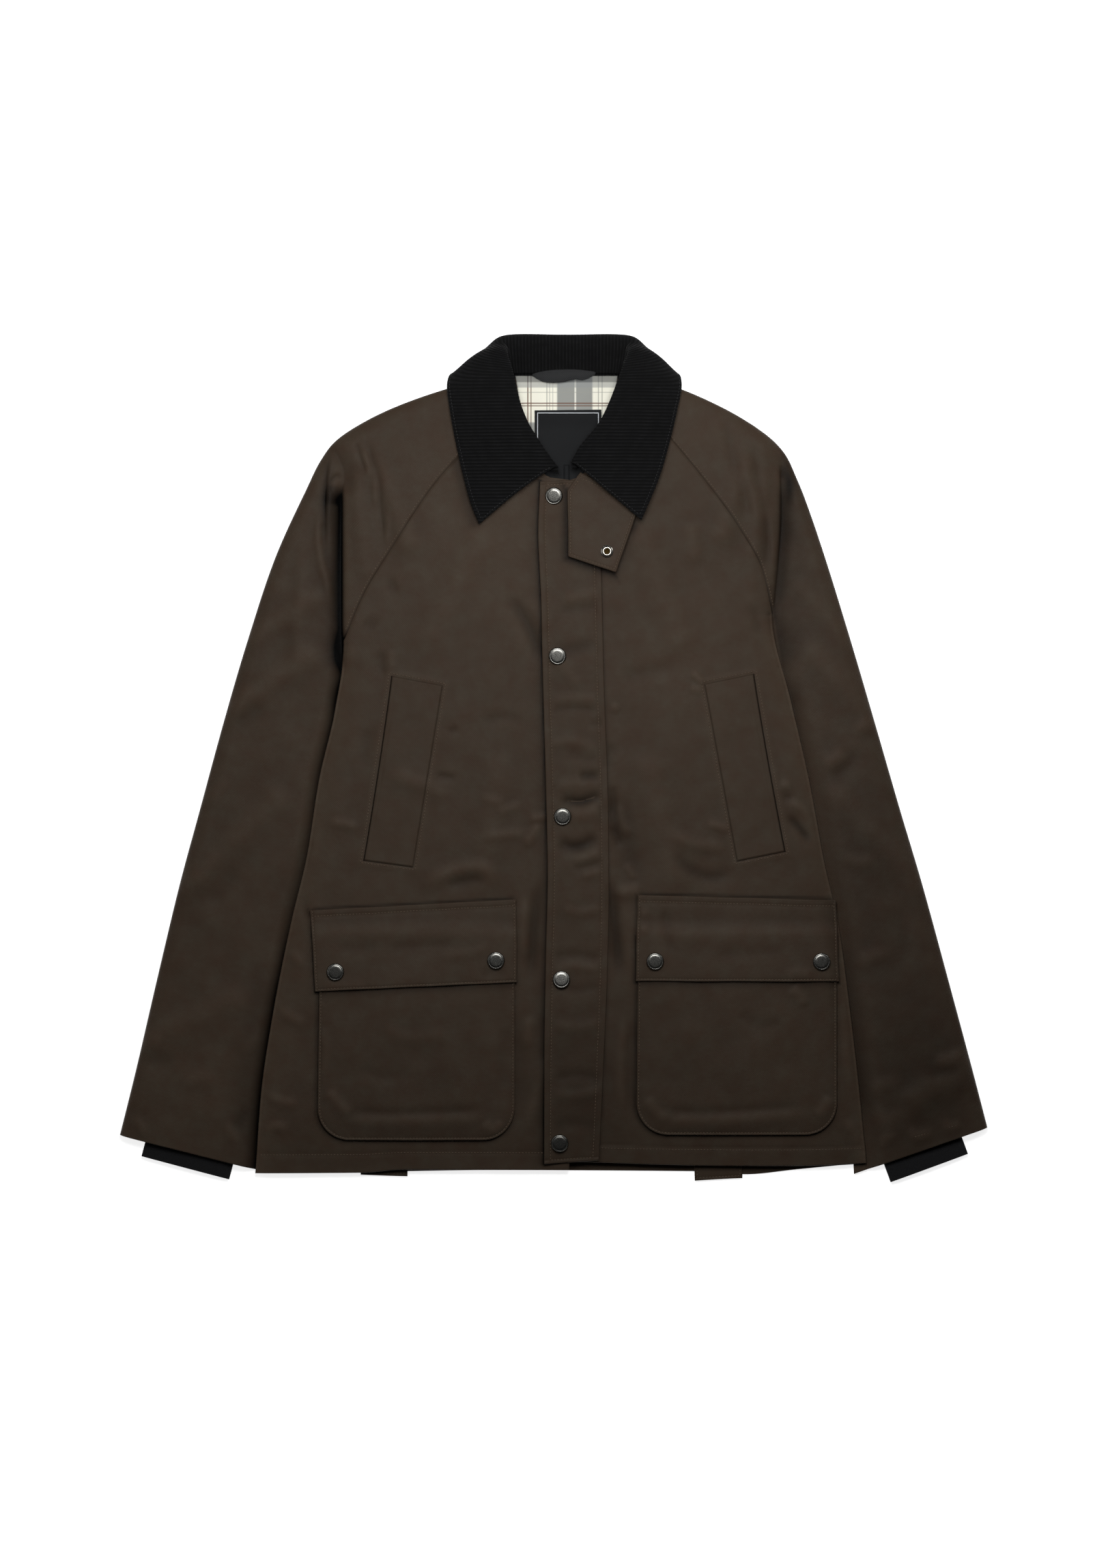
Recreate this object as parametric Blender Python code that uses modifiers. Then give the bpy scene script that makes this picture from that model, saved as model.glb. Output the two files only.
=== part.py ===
"""Waxed cotton jacket with raglan sleeves, laid flat on its back.

Each piece is a sheet of cloth with its own wall. A sheet is a grid whose points a function places, in
millimetres, and a Solidify modifier gives it its thickness. X runs across the jacket, Y from hem to
collar and Z up from the surface. Right and left are the wearer's, so the right side lies at -X.
"""

import math
from collections import namedtuple

import bmesh
import bpy
from mathutils import Vector

MM = 0.001  # tables and sizes below are in millimetres
WALL = 1.5  # waxed cotton with its lining
THIN = 1.0  # tape, label and flap cloth
COLLAR_WALL = 1.8
GAP = 0.35  # between pieces that are sewn together
REST = 0.7  # between a panel and what is laid on it
SEAM = 0.3  # half the gap along a raglan seam

SIDE_HEIGHT = 6.0  # underside of the front where it turns down at the side
CHEST_HEIGHT = 10.0
HEM_HEIGHT = 7.0
SLEEVE_HEIGHT = 9.5
SLEEVE_UNDER_SIDE = 1.9  # sleeve front where the body lies on it
BODY_LIFT = 4.2  # back panel where it lies on a sleeve
COLLAR_LIFT = 2.4  # back panel where it lies on the collar's fall
NECK_FLATTEN = 1.6  # how much lower a sleeve lies where the collar covers it
SIDE_ROUND = 24.0
SLEEVE_ROUND = 13.0
SLEEVE_OVERLAP = 11.0  # how far a sleeve reaches under the body
UNDERARM_Y = {-1: 110.7, 1: 135.7}
NECK_Y = 361.0
CENTRE_FRONT_X = 15.0

SNAP_RADIUS = 8.25
SNAP_HEIGHT = 3.2
SOCKET_RADIUS = 5.9
SOCKET_HEIGHT = 2.6
TURN_STEPS = 16

Point = namedtuple("Point", "y x")
SleeveRow = namedtuple("SleeveRow", "front_y back_y outer_x outer_y")
Fold = namedtuple("Fold", "x0 y0 x1 y1 half_width height")
CollarRow = namedtuple(
    "CollarRow", "neck_x neck_y neck_z roll_x roll_y roll_z fall_x fall_y fall_z edge_x edge_y edge_z"
)

# Side seam up to the underarm, and the fold that runs on from it to the shoulder.
SIDE = {
    -1: [Point(-398, -281), Point(-390, -280.3), Point(-313, -274.6), Point(-236, -263), Point(-153, -246.4),
         Point(-91, -231.7), Point(-19, -220.2), Point(45, -205.4), Point(110.7, -196.5), Point(189, -197.5),
         Point(267, -196.5), Point(296, -207), Point(340, -210)],
    1: [Point(-398, 294), Point(-380, 293.1), Point(-310, 286.7), Point(-233, 277.8), Point(-157, 267.5),
        Point(-97, 254.1), Point(-21, 240), Point(52, 223.4), Point(135.7, 204.8), Point(189, 209),
        Point(230, 212), Point(276, 212.5), Point(300, 219), Point(340, 222)],
}
RAGLAN_FRONT = {
    -1: [Point(110.7, -196.5), Point(153, -178.6), Point(203.5, -147.8), Point(252.8, -115.2),
         Point(282.6, -90.2), Point(302.7, -71), Point(318, -58)],
    1: [Point(135.7, 204.8), Point(176, 195.8), Point(218.9, 172.2), Point(264.3, 138.9), Point(300.2, 109.4),
        Point(323.8, 89), Point(330, 83)],
}
RAGLAN_BACK = {
    -1: [Point(110.7, -196.5), Point(173.4, -168.3), Point(237.4, -128.6), Point(301.4, -83.8), Point(358.4, -40)],
    1: [Point(135.7, 204.8), Point(192.6, 178.6), Point(250.2, 140.2), Point(304.6, 101.8), Point(358.4, 64)],
}
# Neckline of each front, from the centre front up to the raglan seam.
NECKLINE = {
    -1: [Point(262, 10), Point(264, -5), Point(270, -11), Point(280, -21), Point(290, -30), Point(300, -39),
         Point(310, -49), Point(318, -55)],
    1: [Point(262, 16), Point(264, 24), Point(270, 30), Point(280, 38), Point(290, 47), Point(300, 57),
        Point(310, 66), Point(320, 75), Point(330, 80)],
}
FRONT_HEM = {
    -1: [Point(-389, -281), Point(-388.5, -182), Point(-385.5, -139), Point(-386, 16)],
    1: [Point(-378, 14), Point(-382, 168), Point(-382, 227), Point(-379.5, 294)],
}
BACK_HEM = [Point(-388, -281), Point(-388, -182), Point(-386.5, -60), Point(-387.5, 129), Point(-390.5, 180),
            Point(-386, 227), Point(-379.5, 294)]
SLEEVE = {
    -1: [SleeveRow(-388.5, -388.5, -407.7, -353.5), SleeveRow(-290, -290, -392, -290),
         SleeveRow(-215, -215, -373, -208), SleeveRow(-150, -150, -352, -120), SleeveRow(-88, -88, -332, -46),
         SleeveRow(-15, -15, -310, 35), SleeveRow(50, 50, -288, 110), SleeveRow(110.7, 110.7, -262, 188),
         SleeveRow(153, 160, -232, 254), SleeveRow(180, 190, -219, 280), SleeveRow(205, 215, -204, 299),
         SleeveRow(235, 245, -176, 317), SleeveRow(262, 275, -138, 334), SleeveRow(286, 313, -92, 349),
         SleeveRow(316, 357, -50, 357)],
    1: [SleeveRow(-390, -390, 407.7, -346.5), SleeveRow(-290, -290, 393, -290), SleeveRow(-215, -215, 371, -208),
        SleeveRow(-150, -150, 347, -120), SleeveRow(-88, -88, 325, -46), SleeveRow(-20, -20, 303, 30),
        SleeveRow(50, 50, 281, 105), SleeveRow(135.7, 135.7, 258, 180), SleeveRow(170, 180, 241, 231),
        SleeveRow(195, 205, 229, 262), SleeveRow(219, 229, 216, 288), SleeveRow(240, 250, 193, 309),
        SleeveRow(262, 275, 155, 331), SleeveRow(296, 312, 112, 349), SleeveRow(328, 357, 72, 357)],
}
# The largest folds of the fronts and sleeves, as soft ridges.
FOLDS = [
    Fold(-172, 300, -138, 205, 11, 2.6),
    Fold(-186, 262, -176, 178, 9, 1.6),
    Fold(186, 296, 158, 212, 11, 2.4),
    Fold(196, 262, 188, 196, 9, 1.6),
    Fold(-70, 205, -112, 118, 15, 1.8),
    Fold(82, 205, 118, 116, 15, 1.8),
    Fold(-52, -8, -66, -112, 14, 1.6),
    Fold(92, -10, 112, -108, 14, 1.6),
    Fold(-345, -118, -262, -40, 14, 2.2),
    Fold(-312, 40, -232, 96, 12, 2.0),
    Fold(-292, 110, -226, 150, 10, 1.6),
    Fold(-382, -262, -300, -226, 13, 1.6),
    Fold(340, -112, 268, -36, 14, 2.2),
    Fold(302, 36, 244, 98, 12, 2.0),
    Fold(280, 112, 232, 160, 10, 1.6),
    Fold(388, -286, 312, -336, 13, 2.0),
]
# Collar from its right front end round the back neck to its left front end: seam, roll, fall and edge.
COLLAR = [
    CollarRow(5, 267, 14.6, 0, 272, 20, -33, 250, 20, -69.8, 219.5, 16.5),
    CollarRow(-8, 275, 14.6, -9, 286, 23, -43, 267, 21.5, -78, 240, 16),
    CollarRow(-24, 291, 14.2, -18, 301, 25, -53, 287, 22.5, -86, 270, 15.5),
    CollarRow(-40, 307, 13.8, -26, 316, 26, -61, 309, 23, -92.5, 300, 15),
    CollarRow(-53, 323, 13, -33, 336, 26, -67, 333, 22.5, -97.5, 328, 14.5),
    CollarRow(-56, 340, 12.4, -38, 358, 24, -72, 357, 20, -100, 351, 11),
    CollarRow(-52, 354, 10.5, -44, 379, 20.5, -75, 375, 15, -95, 361, 4.5),
    CollarRow(-44, 360, 8, -45, 386, 17.5, -66, 382.5, 9, -80, 353, 0.95),
    CollarRow(-34, 362, 5.6, -42, 389, 15, -46, 392.5, 7, -62, 338, 0.95),
    CollarRow(12, 362, 5.4, 12, 388, 14, 12, 393, 7, 12, 334, 0.95),
    CollarRow(56, 362, 5.6, 66, 389, 15, 70, 392.5, 7, 84, 338, 0.95),
    CollarRow(66, 360, 8, 70, 386, 17.5, 90, 382.5, 9, 100, 353, 0.95),
    CollarRow(74, 354, 10.5, 70, 379, 20.5, 98, 375, 15, 116, 361, 4.5),
    CollarRow(80, 342, 12.4, 62, 357, 24.5, 96, 357, 20.5, 120, 350, 11.5),
    CollarRow(75, 325, 13, 52, 331, 26.5, 87, 331, 23, 116, 328, 16),
    CollarRow(61, 310, 13.8, 43, 313, 27, 79, 308, 24, 109.5, 300, 17),
    CollarRow(45, 295, 14.2, 33, 300, 26, 70, 288, 24.5, 100.5, 268, 19),
    CollarRow(30, 281, 14.6, 25, 289, 24, 60, 267, 24.5, 92, 246, 21),
    CollarRow(18, 270, 14.8, 19, 276, 21.5, 50, 250, 24, 82, 223, 22.5),
]
PLACKET_FREE_EDGE = [Point(-379.5, -9), Point(-291, -9), Point(-193, -7.7), Point(-108, -5.8), Point(-44, -7),
                     Point(71, -10.2), Point(154, -12.2), Point(212, -14.7), Point(261, -12.8)]
PLACKET_SEWN_EDGE = [Point(-379.5, 42.5), Point(-291, 46.7), Point(-193, 50.6), Point(-108, 51.8),
                     Point(-44, 51.2), Point(71, 47.4), Point(154, 45.4), Point(212, 44.2), Point(261, 43.5)]
PLACKET_SNAPS = [(0.3, 246.2), (3.5, 96.2), (8.3, -54.2), (7.2, -207.0), (5.6, -360.2)]

# Corners run from the lower left round to the upper left.
FLAP_CORNERS = {
    -1: [(-223.4, -218.2), (-34.6, -209.6), (-34.9, -131.8), (-228.5, -142.1)],
    1: [(76.8, -208.6), (267.4, -209.0), (265.0, -132.5), (78.4, -127.7)],
}
POUCH_CORNERS = {
    -1: [(-221.6, -357.6), (-36.4, -357.6), (-36.4, -170), (-219.5, -176)],
    1: [(77.4, -352.6), (265.6, -352.6), (265.4, -170), (79, -168)],
}
POUCH_CORNER_RADIUS = 30.0
FLAP_SNAPS = {-1: [(-204.4, -199.7), (-54.1, -189.0)], 1: [(95.0, -189.8), (250.8, -190.0)]}
WELT_CORNERS = {
    -1: [(-178.6, -95.4), (-131.8, -101.8), (-103.9, 68.7), (-152.3, 77.8)],
    1: [(171.7, -96.3), (217.5, -87.0), (188.0, 79.7), (141.1, 70.1)],
}
THROAT_TAB_CORNERS = [(13.8, 189.2), (58.2, 174.1), (79.4, 234.2), (22, 262)]
THROAT_TAB_SOCKET = (49.9, 193.9)
THROAT_TAB_LIFT = 3.2  # how far its free end stands off
VENT_CORNERS = {-1: [(-181.8, -391.0), (-137.0, -392.0), (-137, -240), (-182, -240)],
                1: [(132.5, -396.4), (177.3, -394.0), (177.3, -240), (132.5, -240)]}
LINING_CORNERS = [(-20, 262), (46, 262), (60, 359.4), (-36, 359.4)]
LABEL_CORNERS = [(-17.9, 268), (44.8, 268), (44.8, 327.7), (-17.9, 327.0)]
SIZE_TAG_CORNERS = [(9.4, 258), (14.8, 258), (14.8, 276), (9.4, 276)]
HANGER_ENDS_X = (-19.8, 39.0)
HANGER_HEIGHT = 5.7
CUFF_ENDS = {-1: [(-386, -363.5), (-301, -386)], 1: [(387, -361.5), (312, -389)]}
CUFF_DEPTH = 36.0
CUFF_SHOWS = 9.6
CUFF_HEIGHT = 4.2

# Rows of the body below the underarms; above them they follow the rows of the sleeves.
FRONT_ROWS_Y = [-388, -374, -350, -318, -285, -252, -225, -195, -165, -135, -105, -75, -40, 0, 40, 78]
BACK_ROWS_Y = [-388, -350, -300, -240, -180, -120, -60, -10, 25, 50, 75]
UNDERARM_ROW = 7
ROWS_PER_STEP = 2
FRONT_STEPS = [0, 0.015, 0.05, 0.1, 0.17, 0.28, 0.4, 0.52, 0.64, 0.76, 0.88, 1]
BACK_STEPS = [0, 0.02, 0.045, 0.09, 0.2, 0.35, 0.5, 0.65, 0.8, 0.91, 0.955, 0.98, 1]


def smooth(value, low, high):
    """0 below low and 1 above high, with an even slope between; low may be the larger."""
    share = min(max((value - low) / (high - low), 0.0), 1.0)
    return share * share * (3 - 2 * share)


def mix(a, b, share):
    return a + (b - a) * share


def through(values, at):
    """Smooth curve through a list of equally keyed numbers, at a place from 0 to len - 1."""
    last = len(values) - 1
    start = min(max(int(math.floor(at)), 0), last - 1)
    t = at - start
    here, there = values[start], values[start + 1]
    before = values[start - 1] if start > 0 else 2 * here - there
    after = values[start + 2] if start + 2 <= last else 2 * there - here
    return 0.5 * (2 * here + (there - before) * t + (2 * before - 5 * here + 4 * there - after) * t * t
                  + (3 * here - before - 3 * there + after) * t ** 3)


def read(points, y):
    """X of an edge at a height, along straight stretches softened at their ends."""
    if y <= points[0].y:
        return points[0].x
    for low, high in zip(points, points[1:]):
        if y <= high.y:
            return mix(low.x, high.x, (y - low.y) / (high.y - low.y))
    return points[-1].x


def hem_at(points, x):
    """Y of a hem at a place across it."""
    if x <= points[0].x:
        return points[0].y
    for low, high in zip(points, points[1:]):
        if x <= high.x:
            return mix(low.y, high.y, (x - low.x) / (high.x - low.x))
    return points[-1].y


def fold_height(x, y):
    """Sum of the soft ridges at a place."""
    total = 0.0
    for fold in FOLDS:
        run_x, run_y = fold.x1 - fold.x0, fold.y1 - fold.y0
        length = math.hypot(run_x, run_y)
        along = ((x - fold.x0) * run_x + (y - fold.y0) * run_y) / length
        across = ((x - fold.x0) * run_y - (y - fold.y0) * run_x) / length
        past = max(-along, along - length, 0.0)
        distance = math.hypot(across, past) / fold.half_width
        total += fold.height * math.exp(-distance * distance)
    return total


def inside_side(x, y):
    """Distance in from the nearer side of the body."""
    return min(x - read(SIDE[-1], y), read(SIDE[1], y) - x)


def back_base(x, y):
    """Underside of the back layers: on the surface, and lifted over the sleeves and the collar's fall."""
    over_sleeve = smooth(inside_side(x, y), 26, 13) * smooth(y, 92, 58)
    over_collar = smooth(y, 308, 328)
    return BODY_LIFT * over_sleeve + COLLAR_LIFT * over_collar


def front_height(x, y):
    """Underside of the front: low at the sides and hem, high over the chest."""
    inner = min(max(inside_side(x, y), 0.0) / SIDE_ROUND, 1.0)
    crown = mix(HEM_HEIGHT, CHEST_HEIGHT, smooth(y, -388, -320))
    ridge = fold_height(x, y) * smooth(inside_side(x, y), 0, 20) * smooth(y, 290, 260)
    return SIDE_HEIGHT + (crown - SIDE_HEIGHT) * math.sin(math.pi / 2 * inner) + ridge


def front_top(x, y):
    return front_height(x, y) + WALL


def seat(height, x, y, radius):
    """Highest point of a surface under a round piece."""
    ring = [(x, y)] + [(x + radius * math.cos(turn), y + radius * math.sin(turn))
                       for turn in (math.radians(45 * step) for step in range(8))]
    return max(height(*spot) for spot in ring)


def make_material(name, colour, roughness, metallic=0.0):
    material = bpy.data.materials.new(name)
    material.use_nodes = True
    shader = material.node_tree.nodes["Principled BSDF"]
    shader.inputs["Base Color"].default_value = (*colour, 1.0)
    shader.inputs["Roughness"].default_value = roughness
    shader.inputs["Metallic"].default_value = metallic
    material.diffuse_color = (*colour, 1.0)
    return material


def add_object(name, mesh, material, collection):
    data = bpy.data.meshes.new(name)
    mesh.to_mesh(data)
    mesh.free()
    data.materials.append(material)
    data.shade_smooth()
    piece = bpy.data.objects.new(name, data)
    collection.objects.link(piece)
    return piece


def add_cloth(name, place, columns, rows, wall, material, collection, closed=False):
    """Sheet whose point at column i and row j is place(i, j) in mm, with its wall on the upper side."""
    mesh = bmesh.new()
    bmesh.ops.create_grid(mesh, x_segments=columns, y_segments=rows, size=0.5)
    for vert in mesh.verts:
        column = round((vert.co.x + 0.5) * columns)
        row = round((vert.co.y + 0.5) * rows)
        vert.co = Vector(place(column, row)) * MM
    if closed:
        bmesh.ops.remove_doubles(mesh, verts=mesh.verts, dist=1e-6)
        bmesh.ops.recalc_face_normals(mesh, faces=mesh.faces)
    mesh.normal_update()
    if not closed and sum(face.normal.z * face.calc_area() for face in mesh.faces) < 0:
        bmesh.ops.reverse_faces(mesh, faces=mesh.faces)
    piece = add_object(name, mesh, material, collection)
    wall_modifier = piece.modifiers.new("Wall", "SOLIDIFY")
    wall_modifier.thickness = wall * MM
    wall_modifier.offset = 1.0
    return piece


def add_turned(name, profile, centre, material, collection):
    """Turned piece: profile points (radius, height) run down the outer side, and centre is its foot."""
    mesh = bmesh.new()
    verts = [mesh.verts.new((radius * MM, 0, height * MM)) for radius, height in profile]
    for first, second in zip(verts, verts[1:]):
        mesh.edges.new((first, second))
    piece = add_object(name, mesh, material, collection)
    piece.location = Vector(centre) * MM
    screw = piece.modifiers.new("Turn", "SCREW")
    screw.steps = TURN_STEPS
    screw.render_steps = TURN_STEPS
    screw.use_merge_vertices = True
    screw.merge_threshold = 0.00001
    return piece


def corner_place(corners, u, v):
    """Place in a four-sided patch: u along its lower side, v up."""
    low_x = mix(corners[0][0], corners[1][0], u)
    low_y = mix(corners[0][1], corners[1][1], u)
    high_x = mix(corners[3][0], corners[2][0], u)
    high_y = mix(corners[3][1], corners[2][1], u)
    return mix(low_x, high_x, v), mix(low_y, high_y, v)


def add_patch(name, corners, height, columns, rows, wall, material, collection):
    """Four-sided piece laid on what is under it: height(x, y, u, v) is its underside."""

    def place(i, j):
        u, v = i / columns, j / rows
        x, y = corner_place(corners, u, v)
        return x, y, height(x, y, u, v)

    return add_cloth(name, place, columns, rows, wall, material, collection)


def add_front(name, side, material, collection):
    """Front panel: rows run from the side or raglan seam to the centre front or neckline."""
    seam = [raglan_point(side, at, back=False) for at in upper_rows(side, back=False)]
    outer_ends = [(read(SIDE[side], y), y) for y in FRONT_ROWS_Y] + [(x - side * SEAM, y) for x, y in seam]

    def place(i, j):
        outer, y = outer_ends[j]
        centre = CENTRE_FRONT_X + side * SEAM
        inner = read(NECKLINE[side], y) if y > NECKLINE[side][0].y else centre
        x = mix(outer, inner, FRONT_STEPS[i])
        if j == 0:
            y = hem_at(FRONT_HEM[side], x)
        return x, y, front_height(x, y)

    add_cloth(name, place, len(FRONT_STEPS) - 1, len(outer_ends) - 1, WALL, material, collection)


def add_back(material, collection):
    """Back panel, side to side up to the underarms and between the raglan seams above them."""

    ends = {}
    for side in (-1, 1):
        seam = [raglan_point(side, at, back=True) for at in upper_rows(side, back=True)]
        ends[side] = [(read(SIDE[side], y), y) for y in BACK_ROWS_Y] + [(x - side * SEAM, y) for x, y in seam]

    def place(i, j):
        x = mix(ends[-1][j][0], ends[1][j][0], BACK_STEPS[i])
        y = mix(ends[-1][j][1], ends[1][j][1], BACK_STEPS[i])
        if j == 0:
            y = hem_at(BACK_HEM, x)
        return x, y, back_base(x, y)

    add_cloth("back", place, len(BACK_STEPS) - 1, len(ends[1]) - 1, WALL, material, collection)


def upper_rows(side, back):
    """Places in a sleeve's table from the underarm to the neck, where the body shares its rows."""
    last = (len(SLEEVE[side]) - 1) * ROWS_PER_STEP
    return [step / ROWS_PER_STEP for step in range(UNDERARM_ROW * ROWS_PER_STEP, last + 1)]


def raglan_point(side, at, back):
    """Point on a raglan seam beside a row of the sleeve's table."""
    seam = RAGLAN_BACK[side] if back else RAGLAN_FRONT[side]
    y = through([row.back_y if back else row.front_y for row in SLEEVE[side]], at)
    return read(seam, y), y


def sleeve_line(side, at, back):
    """Inner and outer ends of a sleeve's row at a place along its table."""
    rows = SLEEVE[side]
    inner_y = through([row.back_y if back else row.front_y for row in rows], at)
    outer_x = through([row.outer_x for row in rows], at)
    outer_y = through([row.outer_y for row in rows], at)
    if at >= UNDERARM_ROW:
        inner_x = raglan_point(side, at, back)[0] + side * SEAM
    else:
        overlap = SLEEVE_OVERLAP * smooth(inner_y, 48, 0)
        inner_x = read(SIDE[side], inner_y) - side * (overlap - 3 * SEAM)
    return (inner_x, inner_y), (outer_x - side, outer_y)


def sleeve_stations(length):
    """Distances from the inner end of a row, close together at both of its ends."""
    scale = min(1.0, length / 95)
    near = [0, 10.5, 16, 24, 36]
    far = [14, 7, 3, 1, 0]
    first, last = near[-1] * scale, length - far[0] * scale
    middle = [mix(first, last, step / 4) for step in (1, 2, 3)]
    return [d * scale for d in near] + middle + [length - d * scale for d in far]


def sleeve_height(side, x, y, from_outer):
    """Underside of a sleeve's front: pressed down beside the body, crowned, and round at its outer fold."""
    outside = side * (x - read(SIDE[side], y))
    above = smooth(y, 45, UNDERARM_Y[side] + 15)
    at_side = mix(SLEEVE_UNDER_SIDE, SIDE_HEIGHT, above)
    if outside <= 0:
        height = mix(SLEEVE_UNDER_SIDE, front_height(x, y), smooth(y, 60, UNDERARM_Y[side]))
    else:
        rise = math.sin(math.pi / 2 * min(max(outside - 4, 0) / 40, 1.0))
        height = at_side + (SLEEVE_HEIGHT - at_side) * rise + fold_height(x, y) * smooth(outside, 0, 20)
    rim = back_base(x, y) + WALL + GAP
    inward = min(from_outer / SLEEVE_ROUND, 1.0)
    height = max(height, rim) if from_outer < 30 else height
    height -= NECK_FLATTEN * smooth(y, 290, 335)
    return rim + (height - rim) * math.sqrt(1 - (1 - inward) ** 2)


def add_sleeve_front(name, side, material, collection):
    rows = (len(SLEEVE[side]) - 1) * ROWS_PER_STEP
    columns = len(sleeve_stations(100.0)) - 1

    def place(i, j):
        inner, outer = sleeve_line(side, j / ROWS_PER_STEP, back=False)
        length = math.hypot(outer[0] - inner[0], outer[1] - inner[1])
        distance = sleeve_stations(length)[i]
        x = mix(inner[0], outer[0], distance / length)
        y = mix(inner[1], outer[1], distance / length)
        return x, y, sleeve_height(side, x, y, length - distance)

    add_cloth(name, place, columns, rows, WALL, material, collection)


def add_sleeve_back(name, side, material, collection):
    rows = (len(SLEEVE[side]) - 1) * ROWS_PER_STEP
    columns = 6

    def place(i, j):
        inner, outer = sleeve_line(side, j / ROWS_PER_STEP, back=True)
        x = mix(inner[0], outer[0], i / columns)
        y = mix(inner[1], outer[1], i / columns)
        lift = COLLAR_LIFT * smooth(y, 308, 328)
        return x, y, lift

    add_cloth(name, place, columns, rows, WALL, material, collection)


def add_cuff(name, side, material, collection):
    """Flattened knit tube inside a sleeve's end, which shows as a narrow band below its hem."""
    outer, inner = (Vector(end) for end in CUFF_ENDS[side])
    middle = (outer + inner) / 2
    across = (inner - outer) / 2
    along = Vector((-across.y, across.x)).normalized()
    if along.y < 0:
        along = -along
    columns, rows = 16, 3

    def place(i, j):
        angle = 2 * math.pi * (i % columns) / columns
        bulge = math.copysign(abs(math.sin(angle)) ** 0.7, math.sin(angle))
        forward = mix(-CUFF_SHOWS, CUFF_DEPTH, j / rows)
        spot = middle + across * math.cos(angle) * 0.97 + along * forward
        return spot.x, spot.y, WALL + GAP + CUFF_HEIGHT / 2 + CUFF_HEIGHT / 2 * 0.98 * bulge

    piece = add_cloth(name, place, columns, rows, THIN, material, collection, closed=True)
    piece.modifiers["Wall"].offset = -1.0


def add_collar(material, collection):
    """Collar band: from its neck seam up its stand, over the roll and down its fall."""
    columns, rows = 34, 10
    last = len(COLLAR) - 1

    def place(i, j):
        at = last * i / columns
        row = CollarRow(*(through([station[k] for station in COLLAR], at) for k in range(len(COLLAR[0]))))
        path_x = [row.neck_x, row.roll_x, row.fall_x, row.edge_x]
        path_y = [row.neck_y, row.roll_y, row.fall_y, row.edge_y]
        path_z = [row.neck_z, row.roll_z, row.fall_z, row.edge_z]
        step = [0, 0.4, 0.75, 1, 1.2, 1.45, 1.75, 2, 2.25, 2.6, 3][j]
        z = through(path_z, step)
        if step > 2:
            tuck = mix(1, 6, smooth(row.edge_z, 4, 1))
            z = mix(row.fall_z, row.edge_z, 1 - (3 - step) ** tuck)
        return through(path_x, step), through(path_y, step), max(z, COLLAR_WALL / 2 + 0.05)

    piece = add_cloth("collar", place, columns, rows, COLLAR_WALL, material, collection)
    piece.modifiers["Wall"].offset = 0.0


def add_pouch(name, side, material, collection):
    """Patch pocket with round lower corners, a little full in its middle."""
    corners = POUCH_CORNERS[side]
    columns, rows = 10, 9
    heights = [0, 0.012, 0.04, 0.09, 0.165, 0.3, 0.45, 0.6, 0.8, 1]

    def place(i, j):
        u, v = i / columns, heights[j]
        left, right = corner_place(corners, 0, v), corner_place(corners, 1, v)
        rise = left[1] - corners[0][1]
        drop = max(POUCH_CORNER_RADIUS - rise, 0.0)
        inset = POUCH_CORNER_RADIUS - math.sqrt(POUCH_CORNER_RADIUS ** 2 - drop ** 2)
        x = mix(left[0] + inset, right[0] - inset, u)
        y = mix(left[1], right[1], u)
        full = pouch_fullness(u, v)
        return x, y, front_top(x, y) + REST + full

    add_cloth(name, place, columns, rows, WALL, material, collection)


def pouch_fullness(u, v):
    return 2.2 * (math.sin(math.pi * min(max(u, 0), 1)) * math.sin(math.pi * min(max(v, 0), 1) ** 0.8)) ** 0.7


def flap_underside(side):
    """Height of a flap: on the front at its seam, over the pouch below."""
    corners = POUCH_CORNERS[side]

    def height(x, y, u, v):
        over_pouch = smooth(y, -150, -166)
        across = (x - corners[0][0]) / (corners[1][0] - corners[0][0])
        up = (y - corners[0][1]) / (corners[3][1] - corners[0][1])
        rest = front_top(x, y) + REST
        lift = WALL + REST + pouch_fullness(across, up)
        return rest + over_pouch * lift + 0.8 * (1 - v) * math.sin(math.pi * u)

    return height


def add_hanger(material, collection):
    """Hanger loop of tape between its two sewn ends at the back neck."""
    columns, rows = 10, 2

    def place(i, j):
        u, v = i / columns, j / rows
        arch = math.sin(math.pi * u)
        x = mix(*HANGER_ENDS_X, u)
        top = NECK_Y - 1 + 4.5 * arch
        low = NECK_Y - 3.5 - 5.5 * arch ** 0.5
        return x, mix(low, top, v), HANGER_HEIGHT + 3.2 * arch ** 0.7

    add_cloth("hanger_loop", place, columns, rows, THIN, material, collection)


def build_body(cloth, trim, collection):
    add_back(cloth, collection)
    add_front("front_right", -1, cloth, collection)
    add_front("front_left", 1, cloth, collection)
    for side, name in ((-1, "right"), (1, "left")):
        add_sleeve_front(f"sleeve_{name}_front", side, cloth, collection)
        add_sleeve_back(f"sleeve_{name}_back", side, cloth, collection)
        add_cuff(f"cuff_{name}", side, trim, collection)
        add_patch(f"vent_underlap_{name}", VENT_CORNERS[side],
                  lambda x, y, u, v: back_base(x, y) + WALL + GAP, 3, 6, THIN, cloth, collection)


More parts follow.
